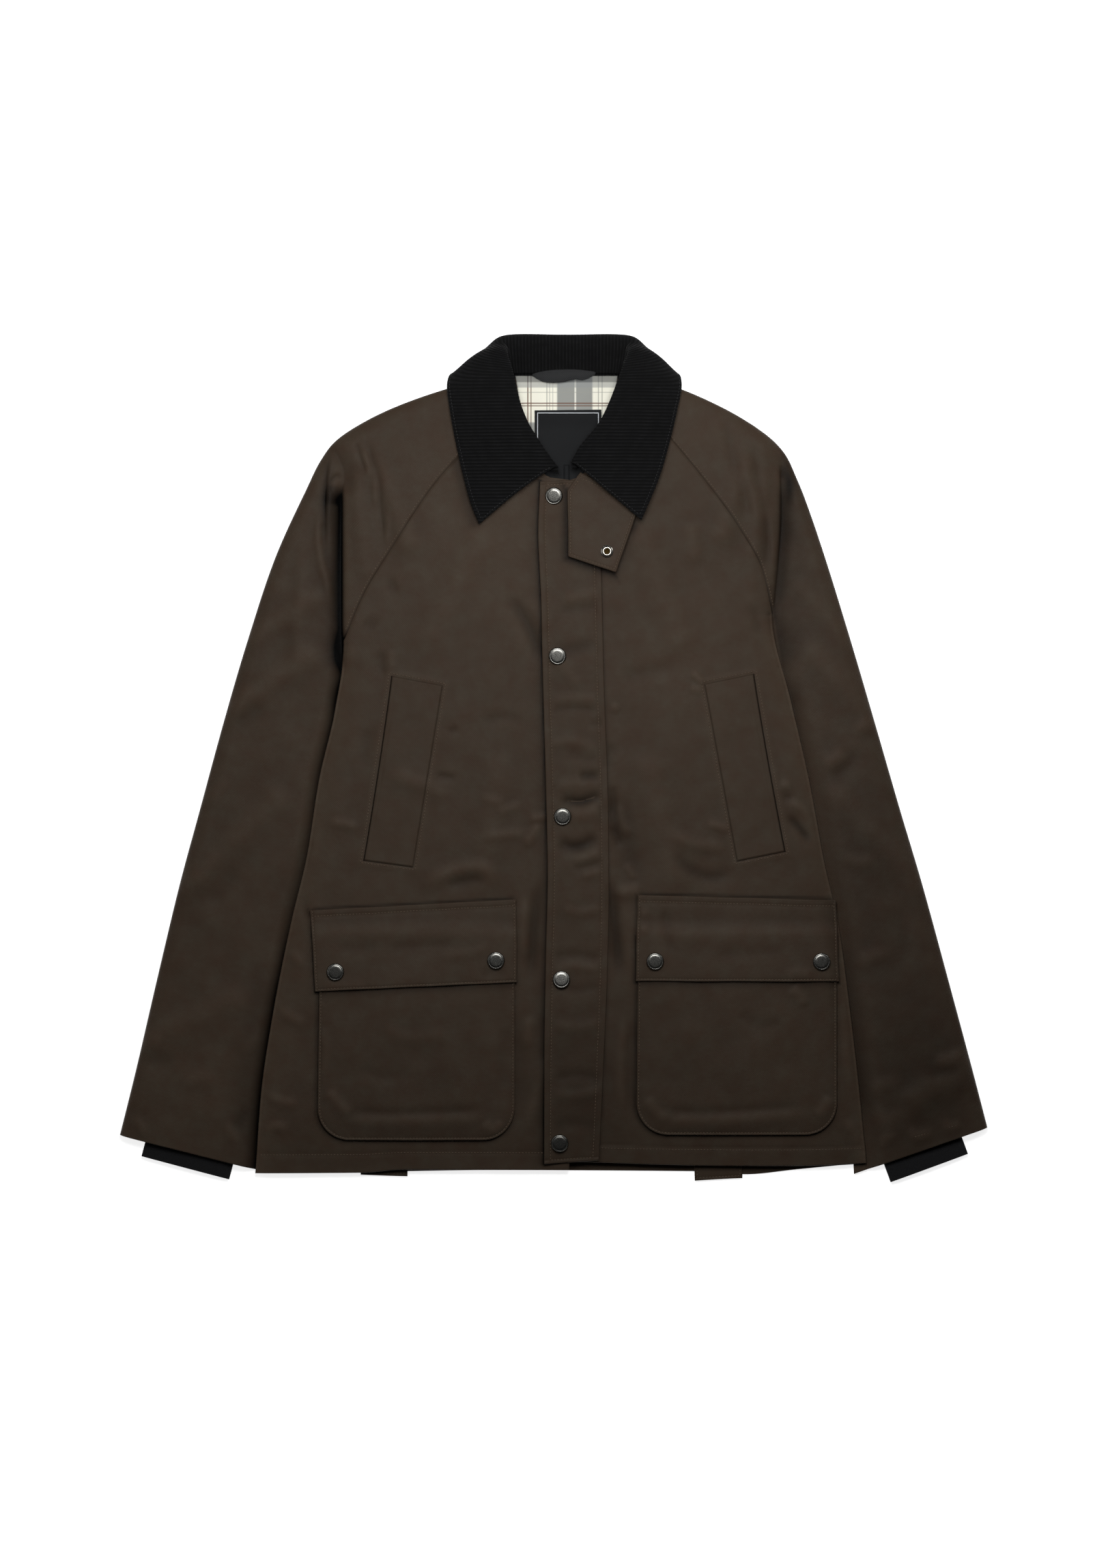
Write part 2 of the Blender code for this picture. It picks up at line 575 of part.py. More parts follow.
def build_pockets(cloth, metal, collection):
    for side, name in ((-1, "right"), (1, "left")):
        add_patch(f"welt_{name}", WELT_CORNERS[side],
                  lambda x, y, u, v: front_top(x, y) + REST, 4, 10, WALL, cloth, collection)
        add_pouch(f"pocket_{name}", side, cloth, collection)
        underside = flap_underside(side)
        add_patch(f"flap_{name}", FLAP_CORNERS[side], underside, 12, 8, WALL, cloth, collection)
        for number, (x, y) in enumerate(FLAP_SNAPS[side], 1):
            corners = FLAP_CORNERS[side]
            u = (x - corners[0][0]) / (corners[1][0] - corners[0][0])
            v = (y - corners[0][1]) / (corners[3][1] - corners[0][1])
            foot = underside(x, y, u, v) + WALL + GAP + 0.35
            add_snap(f"snap_flap_{name}_{number}", (x, y, foot), metal, collection)


def add_snap(name, foot, metal, collection):
    """Domed cap of a press snap."""
    profile = [(0, SNAP_HEIGHT), (SNAP_RADIUS * 0.72, SNAP_HEIGHT * 0.9), (SNAP_RADIUS, SNAP_HEIGHT * 0.5),
               (SNAP_RADIUS, 0), (0, 0)]
    add_turned(name, profile, foot, metal, collection)


def placket_height(x, y):
    return front_top(x, y) + GAP + 0.2


def throat_tab_height(x, y):
    """Underside of the throat tab: on the placket at its seam, standing off at its free end."""
    free, seam = THROAT_TAB_CORNERS[1][1], THROAT_TAB_CORNERS[3][1]
    return placket_height(x, y) + WALL + GAP + THROAT_TAB_LIFT * (seam - y) / (seam - free)


def build_placket(cloth, metal, collection):
    """Storm placket over the centre front, with its snaps, and the throat tab with its socket."""
    rows_y = [-379.5, -350, -318, -285, -252, -225, -195, -165, -135, -105, -75, -40, 0, 40, 80, 108, 135, 165,
              195, 225, 246, 261]
    columns = 4

    def place(i, j):
        y = rows_y[j]
        u = i / columns
        x = mix(read(PLACKET_FREE_EDGE, y), read(PLACKET_SEWN_EDGE, y), u)
        if j == 0:
            y = mix(-380.2, -376.8, u)
        return x, y, placket_height(x, y)

    add_cloth("placket", place, columns, len(rows_y) - 1, WALL, cloth, collection)
    for number, (x, y) in enumerate(PLACKET_SNAPS, 1):
        foot = seat(placket_height, x, y, SNAP_RADIUS) + WALL + GAP
        add_snap(f"snap_placket_{number}", (x, y, foot), metal, collection)
    add_patch("throat_tab", THROAT_TAB_CORNERS, lambda x, y, u, v: throat_tab_height(x, y), 4, 5, WALL, cloth,
              collection)


def build_neck(collar_cloth, lining, label, tape, nickel, collection):
    """Collar, hanger loop, lining, plain label and size tag, and the throat tab's socket."""
    add_collar(collar_cloth, collection)
    add_hanger(tape, collection)
    lining_base = WALL + GAP
    add_patch("lining_back", LINING_CORNERS, lambda x, y, u, v: back_base(x, y) + lining_base, 6, 8,
              THIN, lining, collection)
    label_base = lining_base + THIN + GAP
    add_patch("neck_label", LABEL_CORNERS, lambda x, y, u, v: back_base(x, y) + label_base, 4, 6,
              THIN, label, collection)
    tag_base = label_base + THIN + GAP
    add_patch("size_tag", SIZE_TAG_CORNERS, lambda x, y, u, v: back_base(x, y) + tag_base, 1, 3,
              THIN, label, collection)
    x, y = THROAT_TAB_SOCKET
    foot = seat(throat_tab_height, x, y, SOCKET_RADIUS) + WALL + GAP
    profile = [(0, 0.9), (SOCKET_RADIUS * 0.45, 0.9), (SOCKET_RADIUS * 0.6, SOCKET_HEIGHT),
               (SOCKET_RADIUS, SOCKET_HEIGHT * 0.55), (SOCKET_RADIUS, 0), (0, 0)]
    add_turned("throat_tab_socket", profile, (x, y, foot), nickel, collection)


def main():
    for piece in list(bpy.data.objects):
        bpy.data.objects.remove(piece)
    collection = bpy.data.collections.new("waxed_cotton_jacket")
    bpy.context.scene.collection.children.link(collection)
    waxed = make_material("waxed cotton", (0.045, 0.031, 0.022), 0.5)
    corduroy = make_material("corduroy", (0.012, 0.011, 0.012), 0.85)
    knit = make_material("rib knit", (0.012, 0.012, 0.013), 0.9)
    lining = make_material("check lining", (0.42, 0.37, 0.28), 0.85)
    satin = make_material("woven label", (0.014, 0.014, 0.015), 0.6)
    tape = make_material("tape", (0.04, 0.04, 0.042), 0.8)
    gunmetal = make_material("gunmetal", (0.09, 0.08, 0.07), 0.4, 1.0)
    nickel = make_material("nickel", (0.6, 0.57, 0.5), 0.3, 1.0)
    build_body(waxed, knit, collection)
    build_pockets(waxed, gunmetal, collection)
    build_placket(waxed, gunmetal, collection)
    build_neck(corduroy, lining, satin, tape, nickel, collection)


main()
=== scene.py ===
"""Waxed cotton jacket laid flat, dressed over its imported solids.

Tables and sizes are in millimetres. X runs across the jacket, Y from hem to collar and Z up from the
surface. Right and left are the wearer's, so the right side lies at -X.
"""

import logging
import math
from dataclasses import dataclass, field
from enum import Enum
from typing import Callable, Iterator, NamedTuple, Optional, Sequence

import bmesh
import bpy
import numpy as np
from mathutils import Matrix, Vector


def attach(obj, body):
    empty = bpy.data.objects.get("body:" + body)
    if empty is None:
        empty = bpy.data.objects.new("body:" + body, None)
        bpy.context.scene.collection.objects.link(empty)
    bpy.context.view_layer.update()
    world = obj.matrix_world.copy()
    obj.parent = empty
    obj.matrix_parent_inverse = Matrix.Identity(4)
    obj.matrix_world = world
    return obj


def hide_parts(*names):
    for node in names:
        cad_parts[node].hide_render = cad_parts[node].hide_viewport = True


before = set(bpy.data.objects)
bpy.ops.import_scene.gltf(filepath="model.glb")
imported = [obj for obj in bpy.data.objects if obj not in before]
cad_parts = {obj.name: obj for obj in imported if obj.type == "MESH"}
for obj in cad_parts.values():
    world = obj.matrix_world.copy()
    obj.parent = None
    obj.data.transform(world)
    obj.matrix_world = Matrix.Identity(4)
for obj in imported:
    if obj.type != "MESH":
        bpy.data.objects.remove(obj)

Array = np.ndarray
Tree = bpy.types.NodeTree
Node = bpy.types.Node
Socket = bpy.types.NodeSocket
Piece = bpy.types.Object
Corners = Sequence[tuple[float, float]]
Surface = Callable[[Array, Array], Array]
LOG = logging.getLogger("waxed_jacket")

MM = 0.001
DIAGONAL = 0.7071  # sine and cosine of half a right angle
WHITE = (1.0, 1.0, 1.0, 1.0)
WALL = 1.5
THIN = 1.0
COLLAR_WALL = 1.8
GAP = 0.35
REST = 0.7

SIDE_HEIGHT = 6.0
CHEST_HEIGHT = 10.0
HEM_HEIGHT = 7.0
SLEEVE_HEIGHT = 9.5
SLEEVE_UNDER_SIDE = 1.9
BODY_LIFT = 4.2
COLLAR_LIFT = 2.4
NECK_FLATTEN = 1.6
SIDE_ROUND = 24.0
SLEEVE_ROUND = 13.0
SLEEVE_OVERLAP = 11.0
SLEEVE_VALLEY = {-1: 12.0, 1: 19.0}
# Painted shade on a sleeve in the valley beside the body, a painted highlight where the amount is below 0:
# (y, amount, reach) with rising y.
VALLEY_SHADE = {
    -1: ((-387, 0.85, 12), (-330, 0.85, 10), (-287, 0.82, 8), (-185, 0.78, 6.5), (-153, 0.5, 9),
         (-121, 0.42, 12), (-89, 0.42, 10), (-57, 0.45, 6.5), (7, 0.72, 6.5), (39, 0.8, 6.5), (71, 1, 8.5),
         (104, 0.98, 9), (125, 0, 8)),
    1: ((-387, -0.25, 5), (-185, -0.3, 5), (-57, -0.12, 4), (7, 0.1, 7), (39, 0.22, 8), (71, 0.3, 13),
        (116, 0.32, 13), (150, 0, 9)),
}
UNDERARM_Y = {-1: 110.7, 1: 135.7}
UNDERARM_ROW = 7
TOP_ROW = 14
ROW_LENGTH = 98.0  # from a sleeve's end to its first row above
CENTRE_FRONT_X = 15.0
HEM_Y = -388.0
HEM_CURVE_Y = -345.0  # where the rows begin to follow the curve of the hem
HEM_DEPTH = 17.0
BACK_SEAM_Y = 92.0  # where the back's rows begin to follow its raglan seams
BACK_TOP_Y = 358.4
PLACKET_Y = (-379.5, 261.0)
PLACKET_WIDTH = 56.0


class Point(NamedTuple):
    """A place on an outline that is read by its height."""

    y: float
    x: float


class SleeveRow(NamedTuple):
    """Ends of one row across a sleeve."""

    front_y: float
    back_y: float
    outer_x: float
    outer_y: float


class CollarRow(NamedTuple):
    """Seam, roll, fall and edge of the collar at one station."""

    neck_x: float
    neck_y: float
    neck_z: float
    roll_x: float
    roll_y: float
    roll_z: float
    fall_x: float
    fall_y: float
    fall_z: float
    edge_x: float
    edge_y: float
    edge_z: float


def points(*pairs: tuple[float, float]) -> tuple[Point, ...]:
    """Outline from (y, x) pairs."""
    return tuple(Point(*pair) for pair in pairs)


def sleeve_rows(*rows: tuple[float, float, float, float]) -> tuple[SleeveRow, ...]:
    """Rows of a sleeve, from its hem up."""
    return tuple(SleeveRow(*row) for row in rows)


def collar_rows(*rows: tuple[float, ...]) -> tuple[CollarRow, ...]:
    """Stations of the collar, from its right front end round to its left."""
    return tuple(CollarRow(*row) for row in rows)


SIDE = {
    -1: points((-398, -281), (-390, -280.3), (-313, -274.6), (-236, -263), (-153, -246.4), (-91, -231.7),
               (-19, -220.2), (45, -205.4), (110.7, -196.5), (189, -197.5), (267, -196.5), (296, -207),
               (340, -210)),
    1: points((-398, 294), (-380, 293.1), (-310, 286.7), (-233, 277.8), (-157, 267.5), (-97, 254.1),
              (-21, 240), (52, 223.4), (135.7, 204.8), (189, 209), (230, 212), (276, 212.5), (300, 219),
              (340, 222)),
}
RAGLAN_FRONT = {
    -1: points((110.7, -196.5), (153, -178.6), (203.5, -147.8), (252.8, -115.2), (282.6, -90.2),
               (302.7, -71), (318, -58)),
    1: points((135.7, 204.8), (176, 195.8), (218.9, 172.2), (264.3, 138.9), (300.2, 109.4), (323.8, 89),
              (330, 83)),
}
RAGLAN_BACK = {
    -1: points((110.7, -196.5), (173.4, -168.3), (237.4, -128.6), (301.4, -83.8), (358.4, -40)),
    1: points((135.7, 204.8), (192.6, 178.6), (250.2, 140.2), (304.6, 101.8), (358.4, 64)),
}
NECKLINE = {
    -1: points((262, 10), (264, -5), (270, -11), (280, -21), (290, -30), (300, -39), (310, -49), (318, -55)),
    1: points((262, 16), (264, 24), (270, 30), (280, 38), (290, 47), (300, 57), (310, 66), (320, 75),
              (330, 80)),
}
FRONT_HEM = {
    -1: points((-389, -281), (-388.5, -182), (-385.5, -139), (-386, 16)),
    1: points((-378, 14), (-382, 168), (-382, 227), (-379.5, 294)),
}
BACK_HEM = points((-388, -281), (-388, -182), (-386.5, -60), (-387.5, 129), (-390.5, 180), (-386, 227),
                  (-379.5, 294))
SLEEVE = {
    -1: sleeve_rows((-388.5, -388.5, -407.7, -353.5), (-290, -290, -392, -290), (-215, -215, -373, -208),
                    (-150, -150, -352, -120), (-88, -88, -332, -46), (-15, -15, -310, 35),
                    (50, 50, -288, 110), (110.7, 110.7, -262, 188), (153, 160, -232, 254),
                    (180, 190, -219, 280), (205, 215, -204, 299), (235, 245, -176, 317),
                    (262, 275, -138, 334), (286, 313, -92, 349), (316, 357, -50, 357)),
    1: sleeve_rows((-390, -390, 407.7, -346.5), (-290, -290, 393, -290), (-215, -215, 371, -208),
                   (-150, -150, 347, -120), (-88, -88, 325, -46), (-20, -20, 303, 30), (50, 50, 281, 105),
                   (135.7, 135.7, 258, 180), (170, 180, 241, 231), (195, 205, 229, 262),
                   (219, 229, 216, 288), (240, 250, 193, 309), (262, 275, 155, 331), (296, 312, 112, 349),
                   (328, 357, 72, 357)),
}
COLLAR = collar_rows(
    (5, 267, 14.6, 0, 272, 20, -33, 250, 20, -69.8, 219.5, 16.5),
    (-8, 275, 14.6, -9, 286, 23, -43, 267, 21.5, -78, 240, 16),
    (-24, 291, 14.2, -18, 301, 25, -53, 287, 22.5, -86, 270, 15.5),
    (-40, 307, 13.8, -26, 316, 26, -61, 309, 23, -92.5, 300, 15),
    (-53, 323, 13, -33, 336, 26, -67, 333, 22.5, -97.5, 328, 14.5),
    (-56, 340, 12.4, -38, 358, 24, -72, 357, 20, -100, 351, 11),
    (-52, 354, 10.5, -44, 379, 20.5, -75, 375, 15, -95, 361, 4.5),
    (-44, 360, 8, -45, 386, 17.5, -66, 382.5, 9, -80, 353, 0.95),
    (-34, 362, 5.6, -42, 389, 15, -46, 392.5, 7, -62, 338, 0.95),
    (12, 362, 5.4, 12, 388, 14, 12, 393, 7, 12, 334, 0.95),
    (56, 362, 5.6, 66, 389, 15, 70, 392.5, 7, 84, 338, 0.95),
    (66, 360, 8, 70, 386, 17.5, 90, 382.5, 9, 100, 353, 0.95),
    (74, 354, 10.5, 70, 379, 20.5, 98, 375, 15, 116, 361, 4.5),
    (80, 342, 12.4, 62, 357, 24.5, 96, 357, 20.5, 120, 350, 11.5),
    (75, 325, 13, 52, 331, 26.5, 87, 331, 23, 116, 328, 16),
    (61, 310, 13.8, 43, 313, 27, 79, 308, 24, 109.5, 300, 17),
    (45, 295, 14.2, 33, 300, 26, 70, 288, 24.5, 100.5, 268, 19),
    (30, 281, 14.6, 25, 289, 24, 60, 267, 24.5, 92, 246, 21),
    (18, 270, 14.8, 19, 276, 21.5, 50, 250, 24, 82, 223, 22.5),
)
PLACKET_FREE_EDGE = points((-379.5, -9), (-291, -9), (-193, -7.7), (-108, -5.8), (-44, -7), (71, -10.2),
                           (154, -12.2), (212, -14.7), (261, -12.8))
PLACKET_SEWN_EDGE = points((-379.5, 42.5), (-291, 46.7), (-193, 50.6), (-108, 51.8), (-44, 51.2),
                           (71, 47.4), (154, 45.4), (212, 44.2), (261, 43.5))
PLACKET_SNAPS = ((0.3, 246.2), (3.5, 96.2), (8.3, -54.2), (7.2, -207.0), (5.6, -360.2))
PLACKET_SNAP_LEANS = ((-0.10, -0.16), (-0.02, -0.09), (0.0, -0.05), (0.02, 0.07), (0.0, 0.0))
FLAP_CORNERS = {
    -1: ((-223.4, -218.2), (-34.6, -209.6), (-34.9, -131.8), (-228.5, -142.1)),
    1: ((76.8, -208.6), (267.4, -209.0), (265.0, -132.5), (78.4, -127.7)),
}
POUCH_CORNERS = {
    -1: ((-221.6, -357.6), (-36.4, -357.6), (-36.4, -170), (-219.5, -176)),
    1: ((77.4, -352.6), (265.6, -352.6), (265.4, -170), (79, -168)),
}
POUCH_CORNER_RADIUS = 30.0
SNAP_SEAT = 5.0  # radius of a snap's foot
FLAP_SNAPS = {-1: ((-204.4, -199.7), (-54.1, -189.0)), 1: ((95.0, -189.8), (250.8, -190.0))}
WELT_CORNERS = {
    -1: ((-178.6, -95.4), (-131.8, -101.8), (-103.9, 68.7), (-152.3, 77.8)),
    1: ((171.7, -96.3), (217.5, -87.0), (188.0, 79.7), (141.1, 70.1)),
}
THROAT_TAB_CORNERS = ((13.8, 189.2), (58.2, 174.1), (79.4, 234.2), (22, 262))
THROAT_TAB_SHADED = ((13.6, 189.2), (58.2, 174.1), (79.4, 234.2), (12.7, 253))
THROAT_TAB_SOCKET = (49.9, 193.9)
THROAT_TAB_LIFT = 5.2
POUCH_FULLNESS = 2.2
WELT_LIP = 2.4  # how far out the front stands up round a welt
SIDE_HIGHLIGHT = {-1: 0.30, 1: 0.34}  # painted highlight: how much paler the front is along its side
VENT_CORNERS = {-1: ((-181.8, -391.0), (-137.0, -392.0), (-137, -240), (-182, -240)),
                1: ((132.5, -396.4), (177.3, -394.0), (177.3, -240), (132.5, -240))}
LINING_CORNERS = ((-20, 262), (46, 262), (60, 359.4), (-36, 359.4))
LABEL_CORNERS = ((-17.9, 257), (44.8, 257), (44.8, 327.7), (-17.9, 327.0))
SIZE_TAG_CORNERS = ((9.4, 258), (14.8, 258), (14.8, 276), (9.4, 276))
HANGER_ENDS_X = (-19.8, 39.0)
HANGER_HEIGHT = 5.7
CUFF_ENDS = {-1: ((-386, -363.5), (-301, -386)), 1: ((387, -361.5), (312, -389))}
CUFF_DEPTH = 36.0
CUFF_SHOWS = 9.6
CUFF_HEIGHT = 4.2


class Lie(Enum):
    """How a crease stands in the cloth."""

    RIDGE = "ridge"
    TROUGH = "trough"
    FOLD = "fold"  # high on the right of its line, with a steep drop to the left
    SHADE = "shade"  # deep on the left of its line only


class Side(Enum):
    """A side of the wearer, valued by the sign of its X."""

    RIGHT = -1
    LEFT = 1

    @property
    def word(self) -> str:
        """Word used in node names."""
        return self.name.lower()


def smooth(value: Array, low: float, high: float) -> Array:
    """0 below low and 1 above high with an even slope between; low may be the larger."""
    share = np.clip((np.asarray(value, float) - low) / (high - low), 0.0, 1.0)
    return share * share * (3 - 2 * share)


def mix(a: Array, b: Array, share: Array) -> Array:
    """Straight mix of two values."""
    return a + (b - a) * share


def bell(distance: Array, reach: Array) -> Array:
    """1 at no distance, falling smoothly to about a third at the reach."""
    return np.exp(-(distance / reach) ** 2)


def round_rise(share: Array) -> Array:
    """Quarter of a sine wave, from 0 to 1 over a share held between 0 and 1."""
    return np.sin(math.pi / 2 * np.clip(share, 0, 1))


def past_edges(corners: Corners, x: Array, y: Array) -> Iterator[tuple[Array, float]]:
    """Distance out past each edge of a four-sided patch, and how far that edge faces down and left."""
    for (ax, ay), (bx, by) in zip(corners, (*corners[1:], corners[0])):
        run_x, run_y = bx - ax, by - ay
        length = math.hypot(run_x, run_y)
        yield ((x - ax) * run_y - (y - ay) * run_x) / length, DIAGONAL * (run_x - run_y) / length


def shares(corners: Corners, x: Array, y: Array) -> tuple[Array, Array]:
    """Shares of the way across and up an upright patch."""
    (low_x, low_y), (right_x, _), _, (_, high_y) = corners
    return (x - low_x) / (right_x - low_x), (y - low_y) / (high_y - low_y)


def legs(stops: Corners, step: float) -> list[tuple[Array, Array]]:
    """Even places along each straight leg between stops, no further apart than about a step."""
    found = []
    for (ax, ay), (bx, by) in zip(stops, stops[1:]):
        share = np.linspace(0, 1, max(2, int(math.hypot(bx - ax, by - ay) / step)))
        found.append((mix(ax, bx, share), mix(ay, by, share)))
    return found


def between(before: Array, here: Array, there: Array, after: Array, t: Array) -> Array:
    """Smooth curve from one value to the next, steered by the values on either side of them."""
    return 0.5 * (2 * here + (there - before) * t + (2 * before - 5 * here + 4 * there - after) * t * t
                  + (3 * here - before - 3 * there + after) * t ** 3)


def through(values: Sequence[float], at: Array) -> Array:
    """Smooth curve through evenly keyed numbers.

    Args:
        values: one number for each key 0, 1, 2 and so on.
        at: places from 0 to the last key.

    Returns:
        The curve's value at each place.
    """
    table = np.asarray(values, float)
    table = np.concatenate([[2 * table[0] - table[1]], table, [2 * table[-1] - table[-2]]])
    start = np.clip(np.floor(at).astype(int), 0, len(values) - 2)
    return between(*(table[start + k] for k in range(4)), at - start)


def read(outline: Sequence[Point], y: Array) -> Array:
    """X of an outline at a height, on a smooth curve that never swings past its points.

    Args:
        outline: points with rising y.
        y: heights to read at.

    Returns:
        X at each height.
    """
    return hermite([p.y for p in outline], [p.x for p in outline], y)


def read_across(outline: Sequence[Point], x: Array) -> Array:
    """Y of a hem at places across it, its points given as (y, x) with rising x."""
    return hermite([p.x for p in outline], [p.y for p in outline], x)


def hermite(keys: Sequence[float], values: Sequence[float], at: Array) -> Array:
    """Cubic through keyed values, held within them.

    Args:
        keys: rising keys.
        values: one value for each key.
        at: places to read.

    Returns:
        The curve's value at each place.
    """
    keys, values = np.asarray(keys, float), np.asarray(values, float)
    secant = np.diff(values) / np.diff(keys)
    slope = np.zeros(len(keys))
    slope[0], slope[-1] = secant[0], secant[-1]
    both = secant[:-1] * secant[1:] > 0
    total = np.where(both, secant[:-1] + secant[1:], 1)
    slope[1:-1] = np.where(both, 2 * secant[:-1] * secant[1:] / total, 0)
    place = np.clip(np.asarray(at, float), keys[0], keys[-1])
    i = np.clip(np.searchsorted(keys, place, side="right") - 1, 0, len(keys) - 2)
    gap = keys[i + 1] - keys[i]
    t = (place - keys[i]) / gap
    return ((2 * t ** 3 - 3 * t * t + 1) * values[i] + (t ** 3 - 2 * t * t + t) * gap * slope[i]
            + (3 * t * t - 2 * t ** 3) * values[i + 1] + (t ** 3 - t * t) * gap * slope[i + 1])


def ripple(x: Array, y: Array, length: float, seed: float) -> Array:
    """Gentle uneven waves from -1 to 1, the same at every run.

    Args:
        x: places across.
        y: places along.
        length: usual distance between crests.
        seed: turns and shifts the pattern.

    Returns:
        Height of the waves at each place.
    """
    total = np.zeros(np.shape(x))
    for step, (turn, stretch) in enumerate(((0.4, 1.0), (1.9, 0.73), (3.4, 1.31), (5.1, 0.87))):
        angle = turn + seed * 1.7 + step
        run = x * math.cos(angle) + y * math.sin(angle)
        side = y * math.cos(angle) - x * math.sin(angle)
        bend = seed * 5 + 1.3 * np.sin(side / (length * 0.6))
        total += np.sin(2 * math.pi * run / (length * stretch) + bend)
    return total / 4


@dataclass(frozen=True)
class Crease:
    """A soft crease along a curved line, fading out at both ends."""

    lie: Lie
    line: tuple[tuple[float, float], ...]
    width: float
    height: float
    fade: float

    def height_at(self, x: Array, y: Array) -> Array:
        """Height in millimetres that the crease adds at each place."""
        total = np.zeros(x.shape)
        xs, ys = zip(*self.line)
        reach = 3 * self.width
        near = ((x > min(xs) - reach) & (x < max(xs) + reach) & (y > min(ys) - reach) & (y < max(ys) + reach))
        if not near.any():
            return total
        px, py = x[near], y[near]
        at = np.linspace(0, len(xs) - 1, 1 + 5 * (len(xs) - 1))
        curve_x, curve_y = through(xs, at), through(ys, at)
        best, hand, run = np.full(px.shape, np.inf), np.zeros(px.shape), np.zeros(px.shape)
        so_far = 0.0
        for ax, ay, bx, by in zip(curve_x, curve_y, curve_x[1:], curve_y[1:]):
            rx, ry = bx - ax, by - ay
            length = math.hypot(rx, ry)
            t = np.clip(((px - ax) * rx + (py - ay) * ry) / length ** 2, 0, 1)
            distance = np.hypot(px - ax - rx * t, py - ay - ry * t)
            nearer = distance < best
            best = np.where(nearer, distance, best)
            hand = np.where(nearer, np.sign((px - ax) * ry - (py - ay) * rx), hand)
            run = np.where(nearer, so_far + t * length, run)
            so_far += length
        share = run / so_far
        fade = smooth(share, 0, self.fade) * smooth(share, 1, 1 - self.fade)
        total[near] = self.height * fade * self.profile(best, best * hand)
        return total

    def profile(self, distance: Array, signed: Array) -> Array:
        """Section of the crease, 1 at its crest."""
        crest = bell(distance, self.width)
        if self.lie is Lie.RIDGE:
            return crest
        if self.lie is Lie.TROUGH:
            return -crest
        if self.lie is Lie.SHADE:
            return -0.5 * (1 - np.tanh(signed / 0.8)) * crest
        high = 0.5 * (1 + np.tanh(signed / 1.3))
        return high * crest - 0.75 * (1 - high) * bell(signed, 0.7 * self.width)


def crease_rows(lie: Lie, fade: float, *rows: tuple) -> tuple[Crease, ...]:
    """Creases of one kind from rows of (width, height, x0, y0, x1, y1 and so on)."""
    return tuple(Crease(lie, tuple(zip(row[2::2], row[3::2])), row[0], row[1], fade) for row in rows)


# Large folds, as wide soft ridges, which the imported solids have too: x0, y0, x1, y1, half width, height.
LARGE_FOLDS = (
    (-172, 300, -138, 205, 11, 2.6), (-186, 262, -176, 178, 9, 1.6), (186, 296, 158, 212, 11, 2.4),
    (196, 262, 188, 196, 9, 1.6), (-70, 205, -112, 118, 15, 1.8), (82, 205, 118, 116, 15, 1.8),
    (-52, -8, -66, -112, 14, 1.6), (92, -10, 112, -108, 14, 1.6), (-345, -118, -262, -40, 14, 2.2),
    (-312, 40, -232, 96, 12, 2), (-292, 110, -226, 150, 10, 1.6), (-382, -262, -300, -226, 13, 1.6),
    (340, -112, 268, -36, 14, 2.2), (302, 36, 244, 98, 12, 2), (280, 112, 232, 160, 10, 1.6),
    (388, -286, 312, -336, 13, 2),
)
SHOULDER_CREASES = crease_rows(
    Lie.FOLD, 0.6,
    (7, 1.9, -212, 190, -213, 225, -212, 253, -211, 269, -206, 302),
) + crease_rows(
    Lie.FOLD, 0.12,
    (14, 3.4, -197, 81, -197, 135, -197, 199, -197, 262),
    (9, 1.3, 211, 277, 212, 250, 212, 221, 210, 196, 207, 161, 205, 137),
) + crease_rows(
    Lie.TROUGH, 0.18,
    (7, 1.8, -200, 263, -201, 237, -203, 199, -205, 161, -204, 122, -202, 77),
    (2.5, 1.3, -209, 249, -209, 259, -204, 265, -198, 263), (4, 0.9, -216, 225, -216, 199, -211, 173),
    (2.5, 0.9, -186, 298, -181, 282, -175, 268),
    (3.5, 1.1, -176, 300, -170, 279, -164, 263, -162, 234, -159, 204),
    (5, 0.9, 161, 321, 166, 295, 172, 266, 179, 244, 184, 221),
    (5, 1, 188, 301, 190, 276, 194, 250, 198, 228, 201, 205, 199, 179),
    (6, 1, 215, 271, 216, 237, 217, 205, 214, 167, 212, 135, 214, 93), (3, 0.5, 214, 276, 214, 262),
    (14, 1.6, 223, 186, 223, 135, 227, 84, 236, 33),
) + crease_rows(
    Lie.TROUGH, 0.5,
    (5, 1, 214, 300, 219, 269, 222, 253, 222, 226),
) + crease_rows(
    Lie.RIDGE, 0.3,
    (3, 1.4, -220, 237, -221, 205, -217, 180, -212, 161, -209, 132),
    (2.5, 0.8, -179, 292, -175, 276, -173, 263), (3, 0.9, -156, 234, -156, 212, -157, 198),
    (3, 0.8, -168, 263, -167, 236), (3.5, 0.9, 203, 237, 205, 212, 206, 186, 204, 166),
    (6, 1, 176, 301, 181, 276, 188, 244, 191, 218), (7, 1.2, -235, 225, -237, 167, -241, 103, -240, 33),
)
